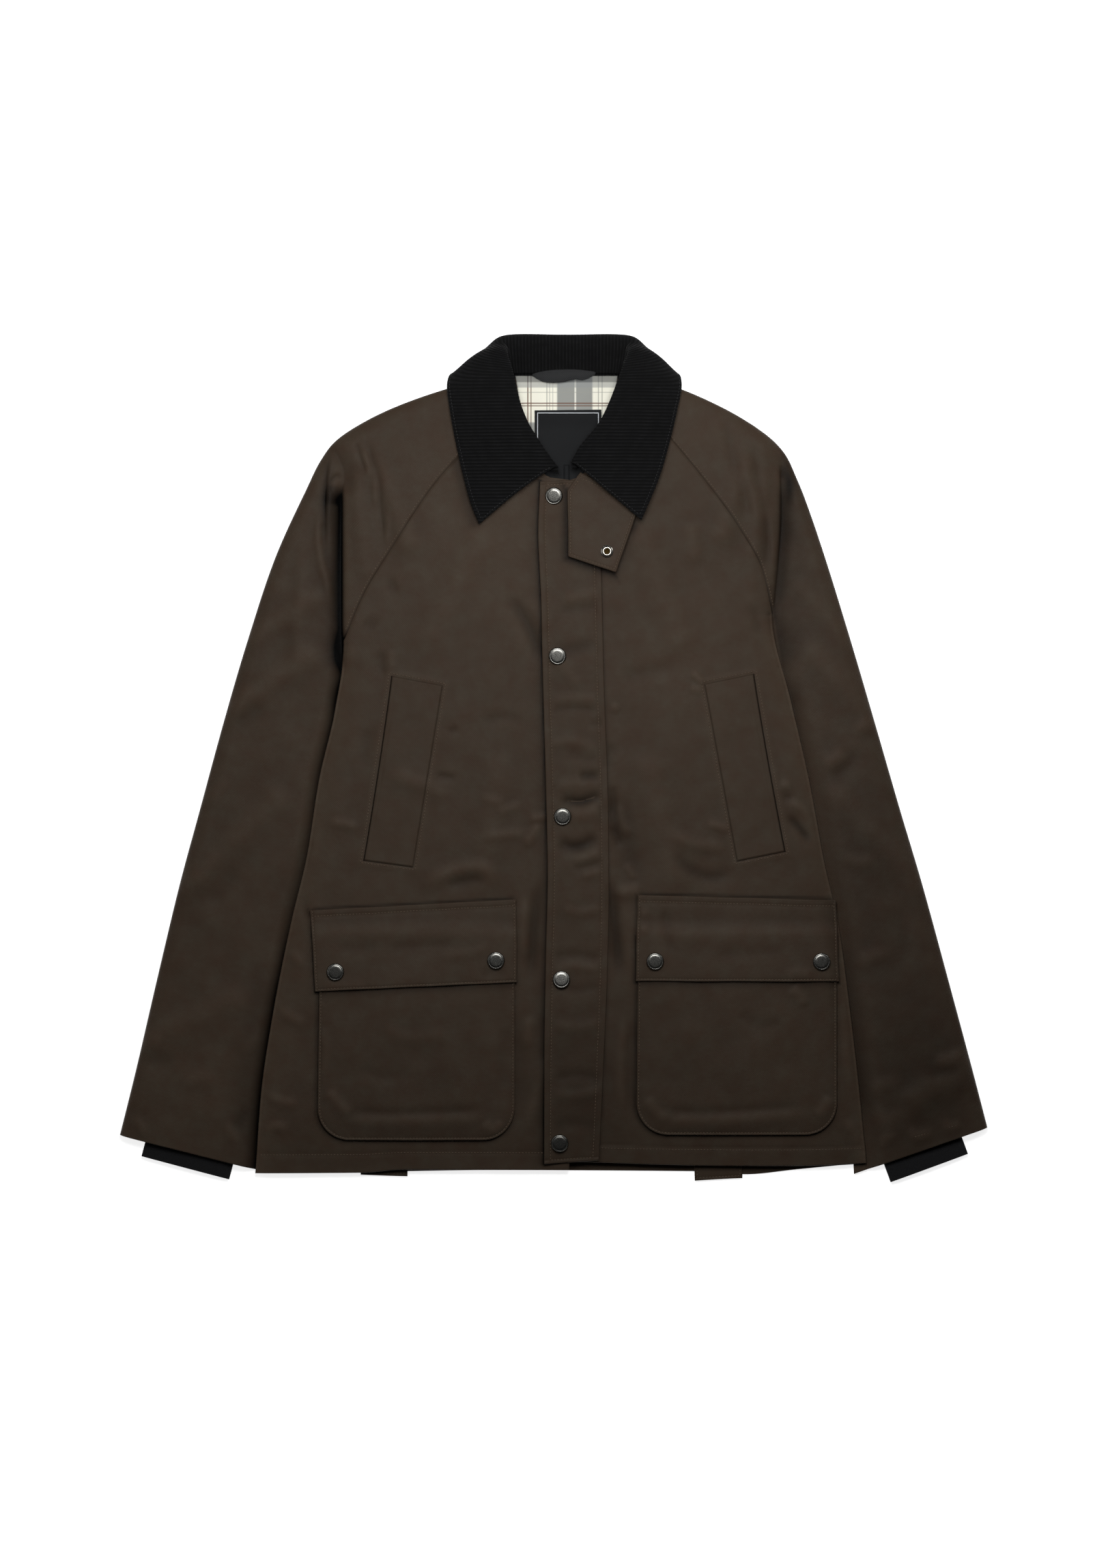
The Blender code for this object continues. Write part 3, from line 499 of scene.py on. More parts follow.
BODY_CREASES = crease_rows(
    Lie.TROUGH, 0.3,
    (6, 1.87, -44, 157, -28, 132, -18, 109, -13, 85), (4.5, 1.16, -161, 104, -162, 87, -156, 77),
    (3.5, 1.05, -100, 24, -89, 29), (3.5, 1.26, -112, -15, -90, -19),
    (6, 1.37, -103, -120, -77, -113, -60, -115), (6, 2.2, -13, -111, -17, -137, -21, -185, -20, -217),
    (4.5, 1.37, -216, 17, -219, -12, -215, -36), (8, 1.05, -157, 159, -145, 163),
    (7, 0.95, -179, 130, -166, 121), (4.5, 1.16, -237, -125, -234, -140, -230, -153),
    (6, 0.95, -71, 33, -45, 39, -26, 33), (6, 0.95, -180, -12, -176, 13, -173, 33),
    (14, 2.42, 54, -25, 60, -57, 73, -100, 86, -122), (3.5, 1.58, 55, -22, 57, -56),
    (3.5, 1.37, 54, -62, 63, -84), (7, 2.86, 52, -109, 56, -147, 60, -185, 64, -211),
    (9, 1.26, 57, 77, 89, 81, 123, 88), (7, 1.47, 109, -85, 127, -103, 152, -111, 171, -100),
    (4.5, 1.98, 217, -51, 227, -61, 244, -81), (6, 1.16, 185, 148, 189, 135, 195, 113),
    (6, 1.05, 57, 17, 51, 1, 52, -15), (3.5, 1.05, 214, -35, 225, -38),
    (7, 0.95, 76, -236, 70, -287, 74, -339), (7, 0.95, -33, -249, -31, -300, -35, -345),
) + crease_rows(
    Lie.RIDGE, 0.3,
    (6, 1.05, -23, 153, -13, 135, -9, 116), (3.5, 0.95, -153, 103, -152, 81),
    (8, 1.58, -161, -12, -135, -20, -113, -28, -92, -40), (4.5, 1.16, -71, -74, -42, -71, -19, -70),
    (4.5, 1.05, -55, -51, -29, -43), (4.5, 0.95, -71, -36, -44, -42),
    (3.5, 1.58, -23, -54, -14, -56, -8, -51), (4, 1.76, -27, -84, -18, -68, -11, -60),
    (7, 2.2, -125, -124, -106, -110, -84, -103, -68, -103, -47, -117),
    (4.5, 1.37, -26, -127, -28, -159, -26, -191), (4.5, 1.37, -23, -239, -25, -273),
    (4.5, 1.26, -9, -276, -16, -313, -27, -353), (6, 1.47, -230, -103, -227, -67, -223, -52),
    (4, 1.37, -213, -60, -196, -61, -182, -67), (4.5, 1.26, -260, -180, -244, -185, -235, -198),
    (4.5, 1.16, -263, -230, -247, -243, -230, -249), (4.5, 1.26, -273, -313, -255, -322, -237, -324),
    (4.5, 1.37, -275, -355, -262, -345, -247, -349), (4.5, 1.76, 59, -39, 65, -61, 73, -75),
    (4, 1.26, 68, -97, 76, -115), (6, 1.98, 60, -132, 67, -125, 83, -124), (3.5, 1.58, 129, 82, 141, 70),
    (3.5, 1.26, 127, 67, 140, 63), (9, 1.76, 127, 226, 130, 205, 134, 180), (3.5, 1.37, 143, -60, 166, -67),
    (6, 1.47, 105, -66, 127, -79, 152, -83, 168, -87), (4.5, 1.98, 217, -40, 234, -48, 252, -68),
    (3.5, 1.37, 212, -26, 223, -24), (4.5, 1.26, 273, -216, 276, -268, 281, -314),
    (4.5, 1.16, 67, -236, 63, -287, 65, -339), (4.5, 1.26, 271, -339, 281, -348, 289, -364),
    (3.5, 1.05, 54, 51, 61, 45),
)
SLEEVE_CREASES = crease_rows(
    Lie.RIDGE, 0.35,
    (6, 1.2, -295, -280, -284, -269, -271, -257), (7, 1, -388, -267, -377, -264, -365, -268),
    (6, 1, -330, -41, -316, -31, -304, -15), (7, 1, -308, 42, -294, 52, -281, 71),
    (7, 1.1, -346, -121, -327, -108, -313, -83), (4.5, 1.2, -397, -333, -388, -344, -381, -356),
    (4.5, 1.2, -308, -339, -303, -351, -294, -362), (6, 1, -351, -307, -333, -299, -313, -301),
    (6, 1.6, 277, 22, 294, 32, 311, 40), (7, 1.6, 252, -10, 263, -1, 276, 8),
    (6, 1.8, 354, -285, 371, -282, 390, -273), (7, 1.2, 289, -318, 307, -307, 333, -300),
    (4, 1.6, 332, -345, 341, -354, 358, -348), (4, 1.5, 305, -365, 313, -356, 324, -351),
    (4, 1.3, 364, -339, 372, -345, 385, -341), (6, 1, 269, -89, 285, -97, 307, -93),
    (6, 1.1, 281, -198, 300, -185, 321, -184),
) + crease_rows(
    Lie.TROUGH, 0.35,
    (7, 1.4, 259, -20, 275, -7, 289, 12), (7, 1.3, 345, -298, 367, -294, 388, -287),
    (8, 1, -327, -140, -308, -121, -295, -95), (7, 1, -304, 29, -287, 38, -273, 57),
    (6, 1.1, -300, -354, -294, -339, -281, -327), (7, 1.2, 300, -339, 319, -327, 345, -324),
    (8, 1.1, 313, -134, 327, -159, 332, -198), (7, 1, -387, -287, -371, -282, -351, -287),
)
PLACKET_CREASES = crease_rows(
    Lie.RIDGE, 0.22,
    (5.5, 0.94, 7, 148, 25, 152, 45, 156), (4.5, 0.77, -5, 54, 19, 57, 45, 53),
    (5.5, 1.02, 1, -26, 19, -24, 44, -22), (7.5, 1.7, 13, -54, 30, -52, 45, -47),
    (4.5, 1.19, 17, -97, 31, -93, 45, -88), (3.5, 0.94, 26, -110, 45, -106),
    (4.5, 0.77, -7, 13, 19, 16, 44, 8), (4.5, 0.85, -3, -199, 19, -195, 47, -198),
    (5.5, 0.85, -3, -249, 25, -252, 48, -246), (4.5, 0.85, 6, -140, 25, -144, 47, -140),
    (4.5, 0.85, -3, -313, 19, -316, 47, -310), (5.5, 0.85, -2, 103, 13, 81, 25, 65),
) + crease_rows(
    Lie.TROUGH, 0.22,
    (6.5, 0.85, -3, 100, 19, 103, 43, 108), (3.5, 0.68, -5, 45, 19, 47, 44, 45),
    (3.5, 0.68, 33, 32, 47, 33), (5.5, 1.44, 22, -17, 34, -16, 44, -18),
    (5.5, 2.21, 4, -38, 25, -40, 47, -33), (6.5, 2.04, 1, -79, 22, -82, 44, -72),
    (5.5, 0.85, 3, 138, 25, 140, 44, 143), (4.5, 0.85, 17, -103, 31, -100, 47, -97),
    (5.5, 1.02, -3, -186, 19, -184, 47, -188), (5.5, 0.85, -1, -214, 25, -217, 48, -212),
    (5.5, 0.85, -3, -300, 25, -296, 48, -301), (6.5, 0.85, -3, -345, 25, -342, 47, -348),
    (5.5, 0.77, 12, 7, 31, -1, 43, 2),
)
FLAP_CREASES = crease_rows(
    Lie.RIDGE, 0.25,
    (8, 0.8, -213, -163, -161, -159, -103, -154, -38, -154), (5, 0.72, -109, -185, -77, -182, -57, -172),
    (5, 0.72, -218, -211, -199, -214, -173, -212), (8, 0.72, 89, -162, 147, -167, 204, -163, 262, -167),
    (4, 0.8, 81, -145, 90, -144), (4, 0.8, 81, -161, 89, -159), (5, 0.8, 217, -205, 227, -200, 243, -203),
) + crease_rows(
    Lie.TROUGH, 0.25,
    (5, 1.04, 103, -139, 107, -161, 112, -186), (6.5, 0.72, -161, -179, -122, -175, -84, -171),
    (6.5, 0.72, 147, -185, 185, -182, 223, -179), (5, 0.72, -71, -204, -57, -200, -42, -203),
    (6.5, 0.64, -205, -175, -186, -179, -161, -175),
)
POUCH_CREASES = crease_rows(
    Lie.RIDGE, 0.2,
    (6.5, 1.27, -204, -339, -161, -340, -103, -339, -56, -337),
    (5, 1.36, -213, -310, -203, -322, -190, -335), (5, 1.27, -67, -340, -56, -348, -47, -339),
    (5, 0.85, -218, -249, -214, -275, -217, -300), (6.5, 1.27, 89, -339, 134, -340, 198, -337, 246, -333),
    (5, 1.19, 223, -214, 231, -223, 236, -232), (5, 1.19, 86, -317, 95, -330, 108, -339),
    (5, 1.19, 246, -336, 254, -327, 259, -316), (6.5, 0.77, -161, -249, -135, -262, -97, -258),
) + crease_rows(
    Lie.TROUGH, 0.2,
    (5, 0.85, -199, -330, -161, -332, -103, -331, -61, -328),
    (5, 0.85, 95, -327, 134, -331, 198, -328, 241, -324), (6.5, 0.77, -45, -249, -49, -287, -44, -313),
    (6.5, 0.77, 172, -236, 191, -249, 217, -246), (6.5, 0.68, -186, -287, -161, -298, -129, -294),
)
# Painted shade along lines, in the same rows as the creases: width, depth as a share of the cloth's colour,
# x0, y0, x1, y1 and so on.
SLEEVE_SHADES = crease_rows(
    Lie.TROUGH, 0.5,
    (4.5, 0.6, 214, 300, 219, 271, 222, 253, 222, 222), (3.5, 0.35, 214, 280, 214, 258),
    (7, 0.2, 222, 240, 224, 190), (4.5, 0.55, -205, 300, -210, 279, -213, 255, -214, 235, -212, 200),
) + crease_rows(
    Lie.SHADE, 0.1,
    (15, 0.97, -197, 77, -197, 135, -197, 199, -197, 260),
    (3.5, 0.5, -197, 87, -197, 135, -197, 199, -197, 255),
    (24, 0.28, 212, 275, 211, 231, 209, 180, 206, 141, 217, 81),
) + crease_rows(
    Lie.TROUGH, 0.2,
    (6, 0.25, -205, 258, -207, 236), (3, 0.2, 212, 263, 212, 231, 212, 205, 209, 180, 207, 151),
    (6, 0.25, 215, 266, 216, 225, 216, 186, 212, 154, 211, 132), (9, 0.2, 198, 231, 200, 205, 198, 177),
    (4, 0.25, 201, 167, 204, 145, 207, 124), (9, 0.4, 266, -159, 275, -223, 284, -287, 291, -351),
    (14, 0.2, -266, -185, -281, -262, -292, -339, -295, -377),
)
COLLAR_SHADES = crease_rows(
    Lie.TROUGH, 0.1,
    (7, 0.45, -70, 213, -77, 235, -86, 268, -94, 300), (8, 0.35, 44, 232, 60, 222, 80, 216),
)
BODY_SHADES = crease_rows(
    Lie.TROUGH, 0.03,
    (1.5, 0.55, -229, -141, -131, -136, -34, -130.7), (1.5, 0.55, 78, -126.6, 170, -129, 265, -131.4),
) + crease_rows(
    Lie.TROUGH, 0.4,
    (6, 0.2, 54, -22, 57, -57, 62, -92), (7, 0.3, 53, -109, 56, -147, 60, -185, 64, -214),
    (10, 0.18, 60, -25, 67, -63, 76, -102, 86, -122), (7, 0.2, -13, -111, -17, -143, -20, -185, -20, -217),
    (6, 0.16, -44, 157, -28, 132, -17, 106, -13, 85), (5, 0.1, -103, -120, -77, -114, -60, -116),
    (6, 0.18, 109, -86, 127, -104, 152, -111, 171, -100), (4, 0.25, 217, -51, 227, -61, 244, -81),
)
PLACKET_SHADES = crease_rows(
    Lie.TROUGH, 0.45,
    (5, 0.5, 4, -37, 25, -40, 47, -33), (6, 0.42, 1, -78, 22, -82, 44, -73), (5, 0.28, 22, -17, 44, -17),
    (7, 0.15, -3, 100, 19, 103, 43, 108),
)

# Broad patches of painted light and shade: x, y, reach across and along, amount.
LIGHT_AND_SHADE_PATCHES = (
    (345, -300, 70, 110, -0.36), (290, -110, 60, 110, -0.24), (-345, -300, 80, 90, 0.16),
    (-70, 200, 70, 90, 0.12), (125, 95, 55, 80, 0.12), (150, 320, 60, 50, 0.1), (25, -320, 45, 80, -0.22),
    (-110, -300, 90, 70, -0.08), (120, -290, 90, 80, -0.1),
)


class JacketForm:
    """Outlines and heights of the jacket as it lies, in millimetres."""

    def side_x(self, side: int, y: Array) -> Array:
        """X of a side of the body at a height."""
        return read(SIDE[side], y)

    def inside_side(self, x: Array, y: Array) -> Array:
        """Distance in from the nearer side of the body."""
        return np.minimum(x - self.side_x(-1, y), self.side_x(1, y) - x)

    def back_base(self, x: Array, y: Array) -> Array:
        """Underside of the back: on the surface, lifted over the sleeves and over the collar's fall."""
        over_sleeve = smooth(self.inside_side(x, y), 26, 13) * smooth(y, BACK_SEAM_Y, 58)
        return BODY_LIFT * over_sleeve + self.over_fall(y)

    def over_fall(self, y: Array) -> Array:
        """How far the collar's fall lifts what lies over it."""
        return COLLAR_LIFT * smooth(y, 308, 328)

    def large_folds(self, x: Array, y: Array) -> Array:
        """Height of the large folds."""
        total = np.zeros(np.shape(x))
        for x0, y0, x1, y1, half_width, height in LARGE_FOLDS:
            run_x, run_y = x1 - x0, y1 - y0
            length = math.hypot(run_x, run_y)
            along = ((x - x0) * run_x + (y - y0) * run_y) / length
            across = ((x - x0) * run_y - (y - y0) * run_x) / length
            past = np.maximum(np.maximum(-along, along - length), 0)
            total = total + height * bell(np.hypot(across, past), half_width)
        return total

    def creases(self, rows: Sequence[Crease], x: Array, y: Array) -> Array:
        """Height of a set of creases."""
        return sum((crease.height_at(x, y) for crease in rows), np.zeros(np.shape(x)))

    def front_height(self, x: Array, y: Array) -> Array:
        """Underside of the front: low at the sides and hem, high over the chest, with its creases."""
        beside = self.inside_side(x, y)
        crown = mix(HEM_HEIGHT, CHEST_HEIGHT, smooth(y, HEM_Y, -320))
        inside = smooth(beside, 0, 14)
        folds = self.large_folds(x, y) * smooth(y, 290, 260) + self.creases(BODY_CREASES, x, y)
        wave = 0.5 * ripple(x, y, 95, 0.3) + 0.28 * ripple(x, y, 42, 1.1) + 0.1 * ripple(x, y, 19, 2.0)
        height = mix(SIDE_HEIGHT, crown, round_rise(beside / SIDE_ROUND)) + (folds + wave) * inside
        height = height + self.creases(SHOULDER_CREASES, x, y)
        for corners in WELT_CORNERS.values():
            out = np.maximum.reduce([past for past, _ in past_edges(corners, x, y)])
            height = height + 0.55 * bell(out - WELT_LIP, WELT_LIP)
        return np.maximum(height, self.back_base(x, y) + WALL + 0.3)

    def front_top(self, x: Array, y: Array) -> Array:
        """Upper side of the front."""
        return self.front_height(x, y) + WALL

    def valley_shade(self, side: int, x: Array, y: Array) -> Array:
        """Painted shade of a sleeve in the valley beside the body, a painted highlight where the amount is
        below 0.
        """
        keys, amounts, reaches = (np.array(part, float) for part in zip(*VALLEY_SHADE[side]))
        outside = np.maximum(side * (x - self.side_x(side, y)), 0)
        return -np.interp(y, keys, amounts) * np.exp(-(outside / np.interp(y, keys, reaches)) ** 1.6)

    def beside_patch(self, corners: Corners, x: Array, y: Array, amount: float, reach: float, even: float,
                     radius: float = 0.0) -> Array:
        """Painted shadow on the cloth just outside a four-sided patch, deepest below it and to its left.

        Args:
            corners: lower left, lower right, upper right and upper left corner.
            x: places across.
            y: places along.
            amount: how deep the tone goes.
            reach: how far out it fades.
            even: share of the amount above the patch and to its right.
            radius: radius of its two lower corners.

        Returns:
            Painted shadow as a tone, 0 or less.
        """
        out, facing = np.full(np.shape(x), -np.inf), np.zeros(np.shape(x))
        for past, turned_down in past_edges(corners, x, y):
            facing = np.where(past > out, turned_down, facing)
            out = np.maximum(out, past)
        for (corner_x, corner_y), hand in ((corners[0], 1), (corners[1], -1)) if radius else ():
            from_x, from_y = x - corner_x - hand * radius, y - corner_y - radius
            far = np.hypot(from_x, from_y)
            in_corner = (hand * from_x < 0) & (from_y < 0)
            facing = np.where(in_corner, -DIAGONAL * (from_x + from_y) / np.maximum(far, 1e-6), facing)
            out = np.where(in_corner, far - radius, out)
        return -amount * mix(even, 1.0, (facing + 1) / 2) * bell(np.maximum(out, 0), reach)

    def front_tone(self, side: int, x: Array, y: Array) -> Array:
        """Painted light and shade of a front: painted shade in its creases, under the collar and beside what
        is sewn on it, and a painted highlight along its sides.
        """
        in_placket = np.clip(y, *PLACKET_Y)
        on_length = smooth(np.abs(y - in_placket), 4, 0)
        free = read(PLACKET_FREE_EDGE, in_placket) - x
        sewn = x - read(PLACKET_SEWN_EDGE, in_placket)
        below_underarm = smooth(y, UNDERARM_Y[side], UNDERARM_Y[side] - 30)
        return (self.creases(BODY_SHADES + COLLAR_SHADES, x, y)
                - on_length * (0.68 * bell(free, 1.8) + 0.24 * bell(free, 7) + 0.25 * bell(sewn, 1.4))
                + self.beside_patch(POUCH_CORNERS[side], x, y, 0.6, 3.0, 0.05, POUCH_CORNER_RADIUS)
                + self.beside_patch(FLAP_CORNERS[side], x, y, 0.55, 2.2, 0.0)
                + self.beside_patch(THROAT_TAB_SHADED, x, y, 0.75, 5.5, 0.05)
                + SIDE_HIGHLIGHT[side] * bell(self.inside_side(x, y), 10) * below_underarm)

    def raglan_point(self, side: int, at: Array, back: bool) -> tuple[Array, Array]:
        """Point on a raglan seam beside a row of the sleeve's table."""
        y = through([row.back_y if back else row.front_y for row in SLEEVE[side]], at)
        return read((RAGLAN_BACK if back else RAGLAN_FRONT)[side], y), y

    def sleeve_row(self, side: int, at: Array, back: bool) -> tuple[Array, Array, Array, Array]:
        """Inner and outer end of a sleeve's row: inner x and y, outer x and y."""
        seam_x, inner_y = self.raglan_point(side, at, back)
        outer_x = through([row.outer_x for row in SLEEVE[side]], at) - side
        outer_y = through([row.outer_y for row in SLEEVE[side]], at)
        overlap = SLEEVE_OVERLAP * smooth(inner_y, 76, 44)
        low_x = self.side_x(side, inner_y) - side * (overlap + 0.4)
        return np.where(at >= UNDERARM_ROW, seam_x - side * 0.1, low_x), inner_y, outer_x, outer_y

    def sleeve_height(self, side: int, x: Array, y: Array, from_outer: Array) -> Array:
        """Underside of a sleeve's front: pressed down beside the body, crowned, round at its outer fold."""
        outside = side * (x - self.side_x(side, y))
        at_side = mix(SLEEVE_UNDER_SIDE, SIDE_HEIGHT, smooth(y, 45, UNDERARM_Y[side] + 15))
        rise = 0.68 * round_rise((outside - 1.5) / SLEEVE_VALLEY[side]) + 0.32 * round_rise(outside / 70)
        wave = 0.5 * ripple(x, y, 80, 2.3) + 0.28 * ripple(x, y, 36, 0.8) + 0.1 * ripple(x, y, 18, 1.6)
        folds = self.large_folds(x, y) + self.creases(SLEEVE_CREASES, x, y) + wave
        out = mix(at_side, SLEEVE_HEIGHT, rise) + folds * smooth(outside, 0, 20)
        out = out + self.creases(SHOULDER_CREASES, x, y) * smooth(y, 60, 120)
        under = mix(SLEEVE_UNDER_SIDE, self.front_height(x, y), smooth(y, 60, UNDERARM_Y[side]))
        height = np.where(outside <= 0, under, out)
        rim = self.over_fall(y) + WALL + GAP
        height = np.maximum(height, rim) - NECK_FLATTEN * smooth(y, 290, 335)
        inward = np.clip(from_outer / SLEEVE_ROUND, 0, 1)
        return rim + (height - rim) * np.sqrt(1 - (1 - inward) ** 2)

    def placket_height(self, x: Array, y: Array) -> Array:
        """Underside of the placket."""
        from_free = x - read(PLACKET_FREE_EDGE, np.clip(y, *PLACKET_Y))
        edge = 1.5 * bell(from_free, 9)
        return self.front_top(x, y) + GAP + 0.2 + self.creases(PLACKET_CREASES, x, y) + edge

    def throat_tab_height(self, x: Array, y: Array) -> Array:
        """Underside of the throat tab: on the placket at its seam, standing off at its free end."""
        free, seam = THROAT_TAB_CORNERS[1][1], THROAT_TAB_CORNERS[3][1]
        lift = THROAT_TAB_LIFT * np.maximum(seam - y, 0) / (seam - free)
        return self.placket_height(x, y) + WALL + GAP + lift

    def pouch_fullness(self, u: Array, v: Array) -> Array:
        """How far a patch pocket stands off in its middle."""
        full = np.sin(math.pi * np.clip(u, 0, 1)) * np.sin(math.pi * np.clip(v, 0, 1) ** 0.8)
        return POUCH_FULLNESS * full ** 0.7

    def flap_height(self, side: int, x: Array, y: Array, u: Array, v: Array) -> Array:
        """Underside of a pocket flap: on the front at its seam, over the pouch below."""
        lift = WALL + REST + self.pouch_fullness(*shares(POUCH_CORNERS[side], x, y))
        bulge = 0.8 * (1 - v) * np.sin(math.pi * np.clip(u, 0, 1))
        rest = self.front_top(x, y) + REST
        return rest + smooth(y, -150, -166) * lift + bulge + self.creases(FLAP_CREASES, x, y)


class Laid(NamedTuple):
    """Where a sheet's points lie: its underside, share of its wall, its weave in mm, and its tone of painted
    light and shade.
    """

    x: Array
    y: Array
    z: Array
    full: Array
    weave_u: Array
    weave_v: Array
    tone: Array | float = 0.0

    def top(self, wall: float) -> Array:
        """Points on the upper side, one row each."""
        return np.stack([self.x, self.y, self.z + wall * self.full], axis=-1)


Lay = Callable[[Array, Array], Laid]


def upper_line(lay: Lay, across: Array, along: Array, wall: float = WALL) -> Array:
    """Points on a sheet's upper side along a line; across or along may be one number."""
    return lay(*np.broadcast_arrays(across, along)).top(wall)


def edge_full(distance: Array, stitch: float, run: Array) -> Array:
    """Share of a wall near a turned and stitched edge.

    Args:
        distance: distance in from the edge.
        stitch: how far in the stitches run.
        run: distance along the edge, which varies the puckers.

    Returns:
        Share of the wall at each place.
    """
    rim = 0.35 + 0.65 * np.sqrt(1 - (1 - np.clip(distance / 1.2, 0, 1)) ** 2)
    pucker = 1 + 0.5 * np.sin(run * 0.9) + 0.35 * np.sin(run * 0.37 + 1)
    groove = 0.26 * bell(distance - stitch, 0.75)
    roll = 0.14 * bell(distance - 0.45 * stitch, 0.35 * stitch)
    return rim - groove + roll - 0.14 * pucker * bell(distance - stitch, 3.2)


def seam_full(distance: Array) -> Array:
    """Share of a wall beside a sewn seam, where the cloth turns down."""
    return 1 - 0.38 * bell(np.maximum(distance, 0), 1.0)


def near_ends(length: float, fine: Sequence[float], coarse: float) -> Array:
    """Places along a length, close together at both ends.

    Args:
        length: total length.
        fine: distances from each end where the places are close.
        coarse: largest spacing between.

    Returns:
        Rising places from 0 to length.
    """
    first, last = fine[-1], length - fine[-1]
    middle = np.linspace(first, last, max(2, round((last - first) / coarse) + 1))
    return np.concatenate([fine[:-1], middle, [length - d for d in reversed(fine[:-1])]])


FINE_EDGE = (0.0, 0.35, 0.8, 1.4, 2.0, 2.6, 3.3, 4.3, 5.8)
RELIEF_STEPS = 26  # how many times the heights are evened out for their mean
FULL_WALL = 1.4  # share of a wall that its modifier's full weight stands for


def place_object(name: str, data: bpy.types.ID) -> Piece:
    """Object in the scene for a mesh, lamp or camera."""
    placed = bpy.data.objects.new(name, data)
    bpy.context.scene.collection.objects.link(placed)
    return placed


def link_mesh(name: str, mesh: bmesh.types.BMesh, finish: "Finish") -> Piece:
    """Object from a finished bmesh, smooth shaded, with its finish."""
    data = bpy.data.meshes.new(name)
    mesh.to_mesh(data)
    mesh.free()
    data.materials.append(finish.material())
    data.shade_smooth()
    return place_object(name, data)


def seat_piece(piece: Piece, slot: str, *nodes: str) -> Piece:
    """Lets a piece ride on the jacket and stand for its nodes."""
    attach(piece, "root")
    if nodes:
        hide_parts(*nodes)
    LOG.info("%s: %d faces", piece.name, len(piece.data.polygons))
    return piece


def relief(z: Array, row: Array, column: Array) -> Array:
    """How far each point of a grid stands above the mean round it, fading out at the grid's edges.

    Args:
        z: heights in millimetres.
        row: row of each point.
        column: column of each point.

    Returns:
        Height above the mean of the neighbours, in millimetres.
    """
    grid = np.zeros((row.max() + 1, column.max() + 1))
    grid[row, column] = z
    level = grid
    for _ in range(RELIEF_STEPS):
        ring = np.pad(level, 1, mode="edge")
        level = (ring[:-2, 1:-1] + ring[2:, 1:-1] + ring[1:-1, :-2] + ring[1:-1, 2:] + 2 * level) / 6
    from_side = np.minimum(column, column.max() - column)
    from_end = np.minimum(row, row.max() - row)
    return (grid - level)[row, column] * smooth(from_side, 0, 8) * smooth(from_end, 0, 5)


def patch_light_and_shade(x: Array, y: Array) -> Array:
    """Painted light and shade in broad patches, as a share of the cloth's colour."""
    total = np.zeros(np.shape(x))
    for patch_x, patch_y, reach_x, reach_y, amount in LIGHT_AND_SHADE_PATCHES:
        total += amount * bell(x - patch_x, reach_x) * bell(y - patch_y, reach_y)
    return total


def cloth_sheet(name: str, node_name: str, across: Array, along: Array, lay: Lay, wall: float = WALL,
                finish: "Optional[Finish]" = None, slot: str = "waxed_cotton", offset: float = 1.0,
                closed: bool = False) -> Piece:
    """Sheet of cloth whose grid points a lay function places.

    Args:
        name: piece name.
        node_name: solid that it stands for.
        across: keys of the columns.
        along: keys of the rows.
        lay: gives the place of each (across, along) pair.
        wall: thickness of the cloth.
        finish: material, or None for waxed cotton.
        slot: slot of the material, not used.
        offset: side on which the wall is built, 1 for above.
        closed: joins the first and the last column.

    Returns:
        The sheet, with its wall as a live modifier.
    """
    mesh = bmesh.new()
    bmesh.ops.create_grid(mesh, x_segments=len(across) - 1, y_segments=len(along) - 1, size=0.5)
    unit = np.array([vert.co for vert in mesh.verts])
    column = np.rint((unit[:, 0] + 0.5) * (len(across) - 1)).astype(int)
    row = np.rint((unit[:, 1] + 0.5) * (len(along) - 1)).astype(int)
    laid = lay(np.asarray(across)[column], np.asarray(along)[row])
    for vert, spot in zip(mesh.verts, np.stack([laid.x, laid.y, laid.z], axis=-1) * MM):
        vert.co = spot
    full_layer, tone_layer = (mesh.verts.layers.float.new(key) for key in ("full", "tone"))
    # tone: painted shade in hollows and painted highlight on ridges, partly the wax's own paling on creases,
    # with broad patches of painted light and shade and the piece's own painted light and shade
    tones = 0.2 * np.tanh(relief(laid.z, row, column)) + patch_light_and_shade(laid.x, laid.y) + laid.tone
    for vert, full, tone in zip(mesh.verts, laid.full, tones):
        vert[full_layer], vert[tone_layer] = full, tone
    weave = mesh.loops.layers.uv.new("weave")
    flat = np.stack([laid.weave_u, laid.weave_v], axis=-1) * MM
    mesh.verts.index_update()
    for face in mesh.faces:
        for loop in face.loops:
            loop[weave].uv = flat[loop.vert.index]
    if closed:
        bmesh.ops.remove_doubles(mesh, verts=mesh.verts, dist=1e-6)
        bmesh.ops.recalc_face_normals(mesh, faces=mesh.faces)
    else:
        mesh.normal_update()
        if sum(face.normal.z * face.calc_area() for face in mesh.faces) < 0:
            bmesh.ops.reverse_faces(mesh, faces=mesh.faces)
    mesh.verts.ensure_lookup_table()
    weights = [min(max(vert[full_layer] / FULL_WALL, 0.0), 1.0) for vert in mesh.verts]
    piece = link_mesh(name, mesh, finish or WAXED)
    group = piece.vertex_groups.new(name="wall")
    for index, weight in enumerate(weights):
        group.add([index], weight, "REPLACE")
    solid = piece.modifiers.new("Wall", "SOLIDIFY")
    solid.thickness = wall * MM * FULL_WALL
    solid.offset = offset
    solid.vertex_group = "wall"
    return seat_piece(piece, slot, node_name)


